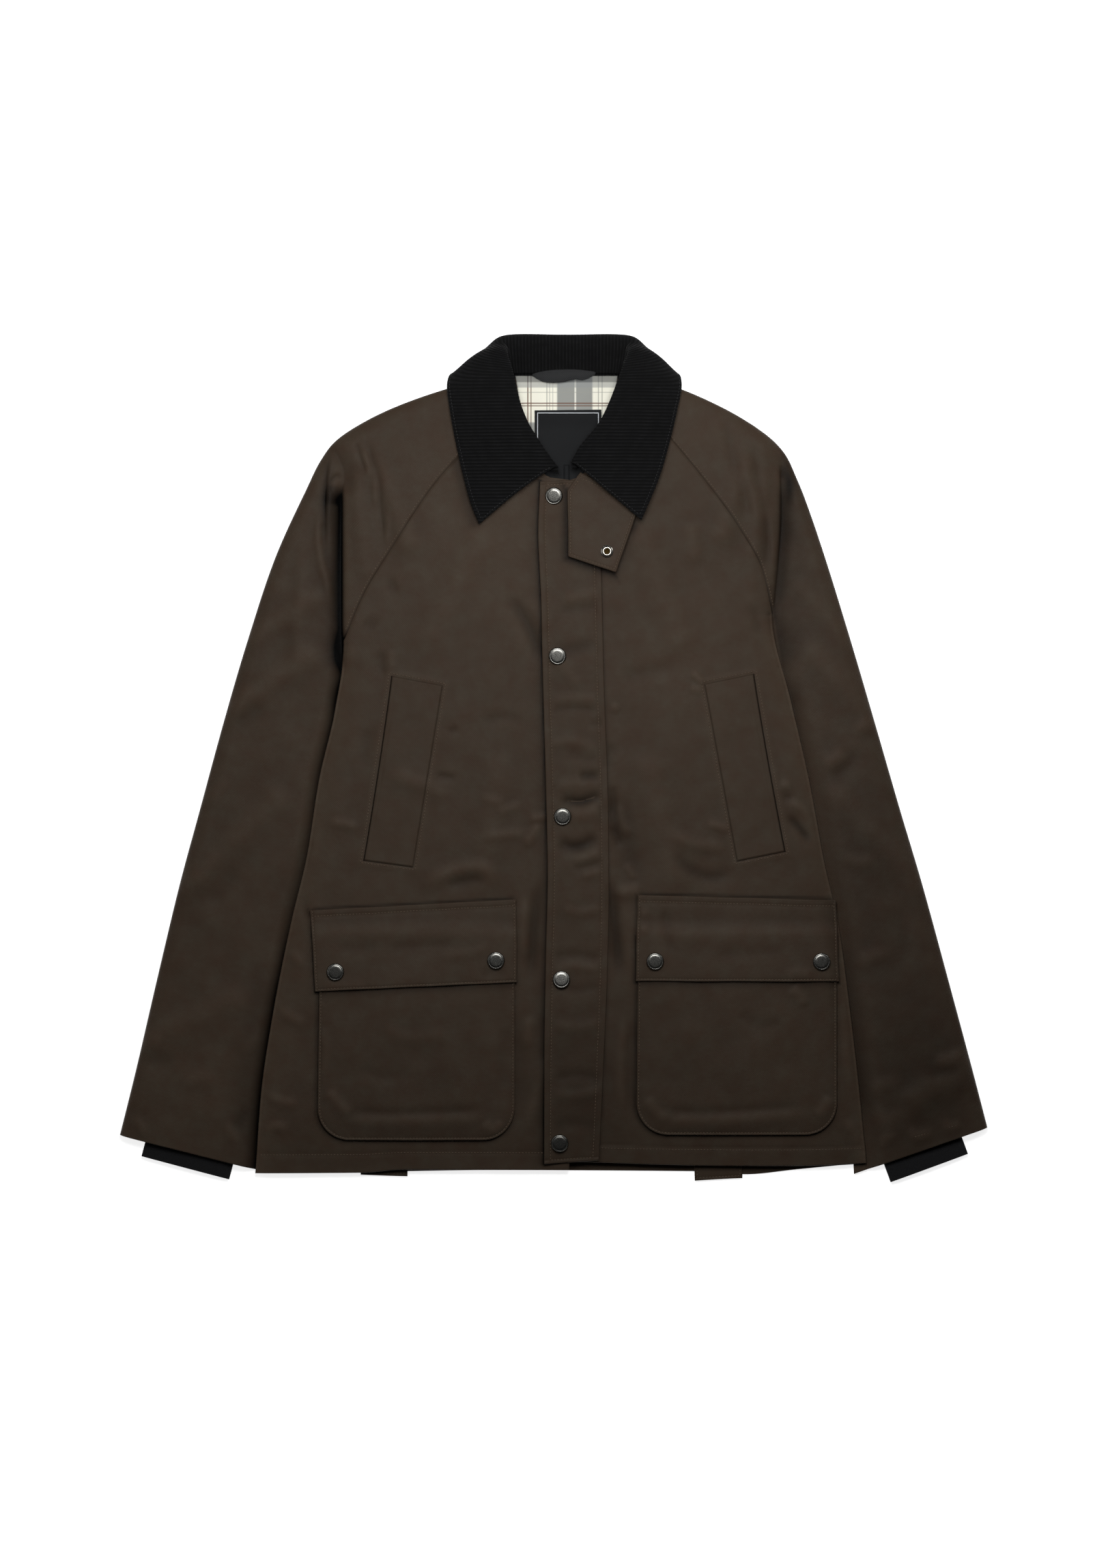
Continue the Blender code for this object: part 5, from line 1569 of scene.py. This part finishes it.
@dataclass
class BackPanel:
    """Back of the body, side to side, with raglan seams above the underarms."""

    form: JacketForm

    def ends(self, side: int, v: Array) -> tuple[Array, Array]:
        """End of the row at v on one side."""
        share = np.clip((v - BACK_SEAM_Y) / (BACK_TOP_Y - BACK_SEAM_Y), 0, 1)
        seam_y = self.form.raglan_point(side, mix(UNDERARM_ROW, TOP_ROW, share), True)[1]
        y = np.where(v < BACK_SEAM_Y, v, mix(BACK_SEAM_Y, seam_y, smooth(share, 0, 0.12)))
        x = np.where(y < UNDERARM_Y[side], self.form.side_x(side, y), read(RAGLAN_BACK[side], y))
        return x - side * 0.3, y

    def lay(self, across: Array, along: Array) -> Laid:
        """Place of a share of the row's width."""
        (left_x, left_y), (right_x, right_y) = self.ends(-1, along), self.ends(1, along)
        x, y = mix(left_x, right_x, across), mix(left_y, right_y, across)
        hem_y = read_across(BACK_HEM, x)
        y = y + (hem_y - HEM_Y) * smooth(y, HEM_CURVE_Y, HEM_Y)
        beside = np.minimum(across, 1 - across) * (right_x - left_x)
        full = np.minimum(seam_full(beside), edge_full(y - hem_y, HEM_DEPTH, x))
        return Laid(x, y, self.form.back_base(x, y), full, x, y)

    def build(self, stitching: Stitching) -> None:
        """Builds the panel and its hem stitches."""
        u = np.concatenate([[0, 0.002, 0.005, 0.01], np.linspace(0.02, 0.98, 84), [0.99, 0.995, 0.998, 1]])
        v = np.concatenate([HEM_Y + near_ends(BACK_SEAM_Y - HEM_Y, FINE_EDGE, 7.0),
                            np.linspace(BACK_SEAM_Y, BACK_TOP_Y, 44)[1:]])
        sheet = cloth_sheet("back_panel", "back", u, v, self.lay)
        flat_area(u, v, self.lay)
        stitching.sew(upper_line(self.lay, np.linspace(0.01, 0.99, 260), HEM_Y + HEM_DEPTH))


@dataclass
class Sleeve:
    """Raglan sleeve: an upper and an under piece, joined at the outer arm."""

    form: JacketForm
    side: Side
    hem_at: float = 0.19  # row that its hem is stitched at
    weave_lean: float = 0.24
    topstitch: float = 3.2

    def spot(self, across: Array, along: Array, back: bool) -> tuple[Array, Array, Array]:
        """Place at a share of a row, and the row's length."""
        inner_x, inner_y, outer_x, outer_y = self.form.sleeve_row(self.side.value, along, back)
        length = np.hypot(outer_x - inner_x, outer_y - inner_y)
        return mix(inner_x, outer_x, across), mix(inner_y, outer_y, across), length

    def lay_front(self, across: Array, along: Array) -> Laid:
        """Place on the upper piece: share of the row from its inner end, and row."""
        s, (x, y, length) = self.side.value, self.spot(across, along, False)
        distance = across * length
        seamed = along >= UNDERARM_ROW
        full = np.minimum(np.where(seamed, seam_full(distance * 0.75), 1.0),
                          edge_full(along * ROW_LENGTH, self.hem_at * ROW_LENGTH, distance))
        full = np.minimum(full, seam_full(length - distance))
        # painted shade of its folds and of the valley beside the body, and darker along the raglan seam
        tone = self.form.creases(SLEEVE_SHADES, x, y) + self.form.valley_shade(s, x, y)
        tone = tone - np.where(seamed, 0.4 * bell(distance, 1.3), 0)
        lean = s * self.weave_lean
        return Laid(x, y, self.form.sleeve_height(s, x, y, length - distance), full,
                    x * math.cos(lean) + y * math.sin(lean), y * math.cos(lean) - x * math.sin(lean), tone)

    def lay_back(self, across: Array, along: Array) -> Laid:
        """Place on the under piece."""
        x, y, length = self.spot(across, along, True)
        full = np.minimum(edge_full(along * ROW_LENGTH, self.hem_at * ROW_LENGTH, across * length),
                          seam_full(np.minimum(across, 1 - across) * length))
        return Laid(x, y, self.form.over_fall(y), full, x, y)

    def build(self, stitching: Stitching) -> None:
        """Builds both pieces, the hem stitches and the raglan topstitch."""
        name = f"sleeve_{self.side.word}"
        t = np.linspace(0, 1, 100)
        across = mix(t, 0.5 - 0.5 * np.cos(math.pi * t), 0.85)
        hem = [0, 0.004, 0.009, 0.015, 0.024, 0.036, 0.05]
        along = np.concatenate([hem, np.linspace(0.07, TOP_ROW, 272)])
        upper = cloth_sheet(name + "_upper", name + "_front", across, along, self.lay_front)
        flat_area(across, along, self.lay_front)
        across_back = np.linspace(0, 1, 40)
        along_back = np.concatenate([hem, np.linspace(0.07, TOP_ROW, 130)])
        under = cloth_sheet(name + "_under", name + "_back", across_back, along_back, self.lay_back)
        flat_area(across_back, along_back, self.lay_back)
        stitching.sew(upper_line(self.lay_front, np.linspace(0.1, 0.985, 90), self.hem_at))
        rows = np.linspace(UNDERARM_ROW + 0.1, TOP_ROW - 0.6, 150)
        off = self.topstitch / self.spot(0, rows, False)[2]
        stitching.sew(upper_line(self.lay_front, off, rows))


@dataclass
class RibCuff:
    """Flattened knit tube inside a sleeve's end."""

    side: Side
    rib: float = 3.0

    def lay(self, across: Array, along: Array) -> Laid:
        """Place on the tube: angle round it, and distance in from its open end."""
        outer, inner = (np.array(end) for end in CUFF_ENDS[self.side.value])
        middle, half = (outer + inner) / 2, (inner - outer) / 2
        forward = np.array([-half[1], half[0]]) / np.hypot(*half)
        forward = forward if forward[1] > 0 else -forward
        bulge = np.sign(np.sin(across)) * np.abs(np.sin(across)) ** 0.7
        turn, inward = 0.97 * np.cos(across), along - CUFF_SHOWS
        x, y = (middle[k] + half[k] * turn + forward[k] * inward for k in (0, 1))
        z = WALL + GAP + CUFF_HEIGHT / 2 + CUFF_HEIGHT / 2 * 0.98 * bulge
        run = np.cos(across) * np.hypot(*half)
        full = 0.75 + 0.3 * np.cos(2 * math.pi * run / self.rib)
        return Laid(x, y, z, full * edge_full(along, 60.0, run), run, along)

    def build(self) -> None:
        """Builds the tube with its ribs."""
        turn = np.arccos(np.linspace(1, -1, 190))
        across = np.concatenate([turn, 2 * math.pi - turn[::-1][1:]])
        along = np.concatenate([[0, 0.3, 0.7, 1.2], np.linspace(2, CUFF_SHOWS + CUFF_DEPTH, 14)])
        name = f"cuff_{self.side.word}"
        tube = cloth_sheet(name + "_tube", name, across, along, self.lay, THIN, RibKnit(), "rib_knit",
                           offset=-1.0, closed=True)


@dataclass
class PatchPocket:
    """Patch pocket with round lower corners, its flap and two snaps."""

    form: JacketForm
    side: Side
    edge_stitch: float = 1.9
    corner: float = POUCH_CORNER_RADIUS

    @property
    def corners(self) -> Corners:
        """Corners of the pouch."""
        return POUCH_CORNERS[self.side.value]

    @property
    def size(self) -> tuple[float, float]:
        """Width and depth of the pouch."""
        (low_x, low_y), (right_x, _), _, (_, high_y) = self.corners
        return right_x - low_x, high_y - low_y

    def inset(self, up: Array) -> Array:
        """How far the pouch's sides are drawn in by its round corners."""
        drop = np.maximum(self.corner - up, 0)
        return self.corner - np.sqrt(np.maximum(self.corner ** 2 - drop ** 2, 0))

    def lay_pouch(self, across: Array, along: Array) -> Laid:
        """Place on the pouch, in mm from its lower left corner."""
        s, r = self.side.value, self.corner
        u, v = across / self.size[0], along / self.size[1]
        left, right = corner_place(self.corners, 0 * v, v), corner_place(self.corners, 0 * v + 1, v)
        inset = self.inset(left[1] - self.corners[0][1])
        x, y = mix(left[0] + inset, right[0] - inset, u), mix(left[1], right[1], u)
        beside = np.minimum(x - left[0], right[0] - x)
        in_corner = (beside < r) & (along < r)
        edge = np.where(in_corner, r - np.hypot(r - beside, r - along), np.minimum(beside, along))
        z = self.form.front_top(x, y) + REST + 0.5 * smooth(edge, 4, 0) + self.form.pouch_fullness(u, v)
        wave = (0.5 * ripple(x, y, 60, 3.1 + s) * smooth(edge, 0, 20)
                + self.form.creases(POUCH_CREASES, x, y) * smooth(edge, 0, 5))
        # painted shadow of the flap on the pouch
        tone = self.form.beside_patch(FLAP_CORNERS[s], x, y, 0.5, 5.0, 0.2)
        return Laid(x, y, z + wave, edge_full(edge, self.edge_stitch, x + y), x, y, tone)

    def outline(self) -> Array:
        """Stitch line round the pouch's sides and lower edge."""
        (width, depth), r, s = self.size, self.corner, self.edge_stitch
        turns = np.radians(np.linspace(180, 270, 16))
        path = [(s, depth), (s, r)]
        path += [(r + (r - s) * math.cos(t), r + (r - s) * math.sin(t)) for t in turns]
        path += [(width - x, y) for x, y in reversed(path)]
        across, along = (np.concatenate(part) for part in zip(*legs(path, 2)))
        inset = self.inset(along)
        return upper_line(self.lay_pouch, (across - inset) / (width - 2 * inset) * width, along)

    def build(self, stitching: Stitching) -> None:
        """Builds the pouch, the flap and the snaps."""
        s, word = self.side.value, self.side.word
        width, depth = self.size
        across = near_ends(width, FINE_EDGE, 2.3)
        along = np.concatenate([[0, 0.02, 0.08, 0.2, 0.4, 0.7, 1.1, 1.6, 2.2, 2.9, 3.7, 4.8, 6.2, 8],
                                np.linspace(10, depth, 80)])
        pouch = cloth_sheet(f"pocket_{word}_pouch", f"pocket_{word}", across, along, self.lay_pouch)
        stitching.sew(self.outline())
        flap = SewnPatch(f"flap_{word}_cloth", f"flap_{word}", FLAP_CORNERS[s],
                         lambda x, y, u, v: self.form.flap_height(s, x, y, u, v), [f"pocket_{word}_pouch"],
                         stitch=2.1, top_stitch=5.8)
        flap.build(stitching)
        for number, (x, y) in enumerate(FLAP_SNAPS[s], 1):
            foot = seat(self.flap_at, x, y, SNAP_SEAT) + WALL
            PressSnap(f"snap_flap_{word}_{number}", (x, y, foot)).build()

    def flap_at(self, x: Array, y: Array) -> Array:
        """Underside of the flap at a place."""
        s = self.side.value
        return self.form.flap_height(s, x, y, *shares(FLAP_CORNERS[s], x, y))


@dataclass
class StormPlacket:
    """Placket over the centre front with five snaps."""

    form: JacketForm
    inset: float = 6.4
    end_inset: float = 3.5

    def lay(self, across: Array, along: Array) -> Laid:
        """Place in mm from the free edge, at a height."""
        low, high = PLACKET_Y
        u = across / PLACKET_WIDTH
        x = mix(read(PLACKET_FREE_EDGE, along), read(PLACKET_SEWN_EDGE, along), u)
        y = along + mix(-0.7, 2.7, u) * smooth(along, low + 30, low)
        y = y + mix(-1.3, 1.3, u) * smooth(along, high - 30, high)
        beside = np.minimum(across, PLACKET_WIDTH - across)
        ends = np.minimum(along - low, high - along)
        full = np.minimum(edge_full(beside, self.inset, along), edge_full(ends, self.end_inset, across))
        # painted shade of its creases and painted shadow of the throat tab
        tone = (self.form.creases(PLACKET_SHADES, x, y)
                + self.form.beside_patch(THROAT_TAB_SHADED, x, y, 0.85, 5.5, 0.1))
        return Laid(x, y, self.form.placket_height(x, y), full, x, y, tone)

    def build(self, stitching: Stitching) -> None:
        """Builds the placket, its stitches and its snaps."""
        low, high = PLACKET_Y
        across = near_ends(PLACKET_WIDTH, FINE_EDGE + (6.4, 7.4), 2.2)
        along = low + near_ends(high - low, FINE_EDGE, 2.4)
        sheet = cloth_sheet("placket_cloth", "placket", across, along, self.lay)
        rows = np.arange(low + self.end_inset, high - 3, 2.0)
        for edge in (self.inset, PLACKET_WIDTH - self.inset):
            stitching.sew(upper_line(self.lay, edge, rows))
        places = np.linspace(self.inset, PLACKET_WIDTH - self.inset, 24)
        for end in (high - self.end_inset, low + self.end_inset):
            stitching.sew(upper_line(self.lay, places, end))
        for number, ((x, y), lean) in enumerate(zip(PLACKET_SNAPS, PLACKET_SNAP_LEANS), 1):
            foot = seat(self.form.placket_height, x, y, SNAP_SEAT) + WALL
            PressSnap(f"snap_placket_{number}", (x, y, foot), lean=lean).build()


@dataclass
class TabCloth(SewnPatch):
    """Throat tab, its left edge turned in to its seam by a short slant, its top tucked below the collar."""

    turn_out: float = 8.0
    turn_at: float = 0.86  # share of its length up to the slant
    tuck: float = 7.0

    def lay(self, across: Array, along: Array) -> Laid:
        """Place of points given in mm from the lower left corner."""
        laid = super().lay(across, along)
        share = along / self.depth
        out = self.turn_out * np.minimum(share / self.turn_at, (1 - share) / (1 - self.turn_at))
        up = self.tuck * smooth(share, self.turn_at, 1)
        x = laid.x - np.maximum(out, 0) * (1 - across / self.width) + 0.44 * up
        y = laid.y + 0.9 * up
        return laid._replace(x=x, y=y, weave_u=x, weave_v=y, z=self.height(x, y, across, along))


@dataclass
class ThroatTab:
    """Throat tab with the socket half of a snap."""

    form: JacketForm
    radius: float = 5.9
    height: float = 2.6

    def build(self, stitching: Stitching) -> None:
        """Builds the tab and its socket."""
        tab = TabCloth("throat_tab_cloth", "throat_tab", THROAT_TAB_CORNERS,
                       lambda x, y, u, v: self.form.throat_tab_height(x, y), ["placket_cloth"],
                       stitch=2.6, bow=0.3)
        tab.build(stitching)
        x, y = THROAT_TAB_SOCKET
        foot = (x, y, seat(self.form.throat_tab_height, x, y, self.radius) + WALL)
        ring = turned("throat_tab_socket_ring", scaled(RING_PROFILE, self.radius, self.height), foot, NICKEL)
        seat_piece(ring, "nickel", "throat_tab_socket")
        profile = scaled(STUD_PROFILE, self.radius, self.height)
        stud = turned("throat_tab_socket_stud", profile, foot, BRASS_AND_WELL_SHADE, 24)
        seat_piece(stud, "nickel")


@dataclass
class Collar:
    """Corduroy collar band: seam, stand, roll and fall."""

    stitch: float = 2.2
    fall_step: float = 26.0  # from the band's middle line to its edge
    station: float = 21.0  # usual distance between stations
    pucker: float = 20.0
    end_stitch: float = 0.11

    @property
    def last(self) -> int:
        """Number of the last station."""
        return len(COLLAR) - 1

    def middle(self, at: Array) -> Array:
        """Middle line of the band."""
        return np.stack([through([row.fall_x for row in COLLAR], at),
                         through([row.fall_y for row in COLLAR], at)])

    def wale_normal(self, at: Array) -> Array:
        """Direction across the wales, which are level on the wings and upright round the back."""
        turn = math.pi / 2 * (smooth(at, 4.6, 8.4) + smooth(at, self.last - 8.4, self.last - 4.6))
        return np.stack([np.sin(turn), np.cos(turn)])

    def wale_place(self, at: Array, x: Array, y: Array) -> Array:
        """Distance across the wales from the right front end."""
        keys = np.linspace(0, self.last, 400)
        normal = self.wale_normal(keys)
        step = (np.diff(self.middle(keys)) * (normal[:, 1:] + normal[:, :-1]) / 2).sum(axis=0)
        away = ((np.stack([x, y]) - self.middle(at)) * self.wale_normal(at)).sum(axis=0)
        return np.interp(at, keys, np.concatenate([[0], np.cumsum(step)])) + away

    def lay(self, across: Array, along: Array) -> Laid:
        """Place at a station and a step from the neck seam (0) over the roll (1) to the edge (3)."""
        spot = {name: through([getattr(row, name) for row in COLLAR], across) for name in CollarRow._fields}
        parts = ("neck", "roll", "fall", "edge")
        x, y, z = (self.section(np.stack([spot[f"{part}_{axis}"] for part in parts]), along)
                   for axis in "xyz")
        tuck = mix(1, 6, smooth(spot["edge_z"], 4, 1))
        falling = mix(spot["fall_z"], spot["edge_z"], 1 - np.maximum(3 - along, 0) ** tuck)
        stand = smooth(along, 1.15, 0.7) * smooth(across, 6.5, 8) * smooth(across, 12.5, 11)
        edge = (3 - along) * self.fall_step
        ends = np.minimum(across, self.last - across) * self.station
        full = np.minimum(edge_full(edge, self.stitch, across * self.pucker),
                          edge_full(ends, self.stitch, along * self.pucker))
        wave = 0.6 * ripple(x, y, 48, 1.9) * smooth(edge, 0, 14) * smooth(along, 1.0, 1.3)
        z = np.where(along > 2, falling, z) + 0.5 * stand * ripple(x, y, 22, 0.6) + wave
        z = np.maximum(z, COLLAR_WALL / 2 + 0.05)
        return Laid(x, y, z, full, self.wale_place(across, x, y), along * 30)

    def section(self, path: Array, step: Array) -> Array:
        """Smooth path across the band through its four points."""
        padded = np.concatenate([[2 * path[0] - path[1]], path, [2 * path[3] - path[2]]])
        start = np.clip(np.floor(step).astype(int), 0, 2)
        column = np.arange(path.shape[1])
        return between(*(padded[start + k, column] for k in range(4)), step - start)

    def build(self, stitching: Stitching) -> None:
        """Builds the band and its topstitch."""
        ends = np.array([0, 0.02, 0.05, 0.09, 0.14])
        across = np.concatenate([ends, np.linspace(0.2, self.last - 0.2, 260), self.last - ends[::-1]])
        along = np.concatenate([np.linspace(0, 2.8, 62), [2.84, 2.88, 2.91, 2.94, 2.965, 2.985, 3.0]])
        band = cloth_sheet("collar_band", "collar", across, along, self.lay, COLLAR_WALL, Corduroy(),
                           "corduroy", offset=0.0)
        stations = np.linspace(self.end_stitch, self.last - self.end_stitch, 420)
        stitching.sew(upper_line(self.lay, stations, 3 - self.stitch / self.fall_step, COLLAR_WALL / 2))
        for end in (self.end_stitch, self.last - self.end_stitch):
            stitching.sew(upper_line(self.lay, end, np.linspace(1.1, 2.9, 60), COLLAR_WALL / 2))


@dataclass
class NeckLining:
    """Check lining at the back neck with a plain label, a size tag and the hanger loop."""

    form: JacketForm

    def layer(self, name: str, node_name: str, corners: Corners, number: int, below: str, finish: Finish,
              slot: str, stitch: float = 2.4) -> SewnPatch:
        """Flat patch on the back, with so many thin patches below it."""
        above = WALL + GAP + number * (THIN + GAP)
        return SewnPatch(name, node_name, corners, lambda x, y, u, v: self.form.back_base(x, y) + above,
                         [below], THIN, finish, slot, stitch=stitch, bow=0.0)

    def lay_hanger(self, across: Array, along: Array) -> Laid:
        """Place on the hanger loop: share of its length and of its width."""
        arch = np.sin(math.pi * np.clip(across, 0, 1))
        x = mix(*HANGER_ENDS_X, across)
        low = through((359.0, 353.8, 352.6, 353.6, 356.0, 355.8, 360.5), across * 6)
        high = through((361.2, 363.6, 364.8, 365.2, 365.2, 364.4, 363.2), across * 6)
        y = mix(low, high, along)
        z = HANGER_HEIGHT + 3.2 * np.maximum(arch, 0) ** 0.7 + 0.8 * np.sin(math.pi * along) * arch
        full = edge_full(np.minimum(along, 1 - along) * 10, 1.4, x)
        return Laid(x, y, z, full, x, y)

    def build(self, stitching: Stitching) -> None:
        """Builds lining, label, tag and loop."""
        self.layer("lining_back_cloth", "lining_back", LINING_CORNERS, 0, "back_panel", CheckLining(),
                   "check_lining").build(None)
        label = self.layer("neck_label_cloth", "neck_label", LABEL_CORNERS, 1, "lining_back_cloth",
                           WovenLabel(), "woven_label", 1.2)
        tag = self.layer("size_tag_cloth", "size_tag", SIZE_TAG_CORNERS, 2, "neck_label_cloth",
                         WovenLabel("woven size tag"), "woven_label", 0.8)
        label.build(None, [self.build_tag(tag)])
        across, along = np.linspace(0, 1, 60), np.linspace(0, 1, 16)
        loop = cloth_sheet("hanger_loop_tape", "hanger_loop", across, along, self.lay_hanger, THIN, Tape(),
                           "tape")

    def build_tag(self, tag: SewnPatch) -> Piece:
        """Size tag, too narrow to be a sheet of its own."""
        across, along = np.linspace(0, tag.width, 8), np.linspace(0, tag.depth, 20)
        return cloth_sheet(tag.piece, tag.node_name, across, along, tag.lay, tag.wall, tag.finish, tag.slot)


@dataclass
class Studio:
    """Pale floor, soft lights and the camera straight above."""

    focal_mm: float = 100.0
    sensor_mm: float = 36.0
    frame_height: float = 1.4694
    camera_x: float = 0.0003
    camera_y: float = -0.0237
    focus_z: float = 0.012  # height at which the frame has its real size

    def build(self) -> None:
        """Builds floor, lights, world and camera."""
        mesh = bmesh.new()
        bmesh.ops.create_grid(mesh, x_segments=8, y_segments=8, size=4.0)
        bmesh.ops.translate(mesh, verts=mesh.verts, vec=(0, 0, -0.0004))
        floor = link_mesh("floor", mesh, PaleFloor())
        self.light("key", (1.45, 1.0, 1.05), (0, 0, 0), 0.5, 4.4)
        self.light("overhead", (0.03, 0.42, 1.0), (0.02, 0.15, 0), 0.6, 10.6)
        self.light("left", (-1.4, 0.3, 1.1), (-0.1, -0.05, 0), 1.1, 2.8)
        world = bpy.data.worlds.new("studio air")
        bpy.context.scene.world = world
        world.use_nodes = True
        feed(world.node_tree, world.node_tree.nodes["Background"], {"Color": WHITE, "Strength": 0.02})
        data = bpy.data.cameras.new("above")
        data.lens = self.focal_mm
        data.sensor_width = self.sensor_mm
        data.clip_end = 50
        camera = place_object("above", data)
        distance = self.frame_height * self.focal_mm / self.sensor_mm
        camera.location = (self.camera_x, self.camera_y, distance + self.focus_z)
        bpy.context.scene.camera = camera
        bpy.context.scene.view_settings.view_transform = "Standard"

    def light(self, name: str, place: tuple[float, float, float], aim: tuple[float, float, float],
              size: float, power: float) -> None:
        """Square soft light aimed at a point."""
        data = bpy.data.lights.new(name, "AREA")
        data.energy, data.size = power, size
        lamp = place_object(name, data)
        lamp.location = place
        lamp.rotation_euler = (Vector(aim) - Vector(place)).to_track_quat("-Z", "Y").to_euler()


def build_jacket() -> None:
    """Builds every part of the jacket, from the back up."""
    form = JacketForm()
    body, pockets = Stitching("stitches_body"), Stitching("stitches_pockets")
    sleeves, collar = Stitching("stitches_sleeves"), Stitching("stitches_collar", BLACK_THREAD, "corduroy")
    BackPanel(form).build(body)
    for side in Side:
        FrontPanel(form, side).build(body)
        Sleeve(form, side).build(sleeves)
        RibCuff(side).build()
        s, word = side.value, side.word
        SewnPatch(f"vent_underlap_{word}_cloth", f"vent_underlap_{word}", VENT_CORNERS[s],
                  lambda x, y, u, v: form.back_base(x, y) + WALL + GAP, ["back_panel"], THIN).build(body)
        welt = HandWelt(f"welt_{word}_cloth", f"welt_{word}", WELT_CORNERS[s],
                        lambda x, y, u, v: form.front_top(x, y) + GAP, [f"front_{word}_panel"],
                        outer_low=side is Side.RIGHT)
        welt.build(None)
        welt.sew_window(pockets, form.front_top)
        PatchPocket(form, side).build(pockets)
    StormPlacket(form).build(body)
    ThroatTab(form).build(body)
    Collar().build(collar)
    NeckLining(form).build(body)
    for stitching in (body, pockets, sleeves, collar):
        stitching.build()


def main() -> None:
    """Builds the jacket and the studio."""
    logging.basicConfig(level=logging.INFO, format="%(name)s: %(message)s")
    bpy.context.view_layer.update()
    build_jacket()
    Studio().build()


if __name__ == "__main__":
    main()
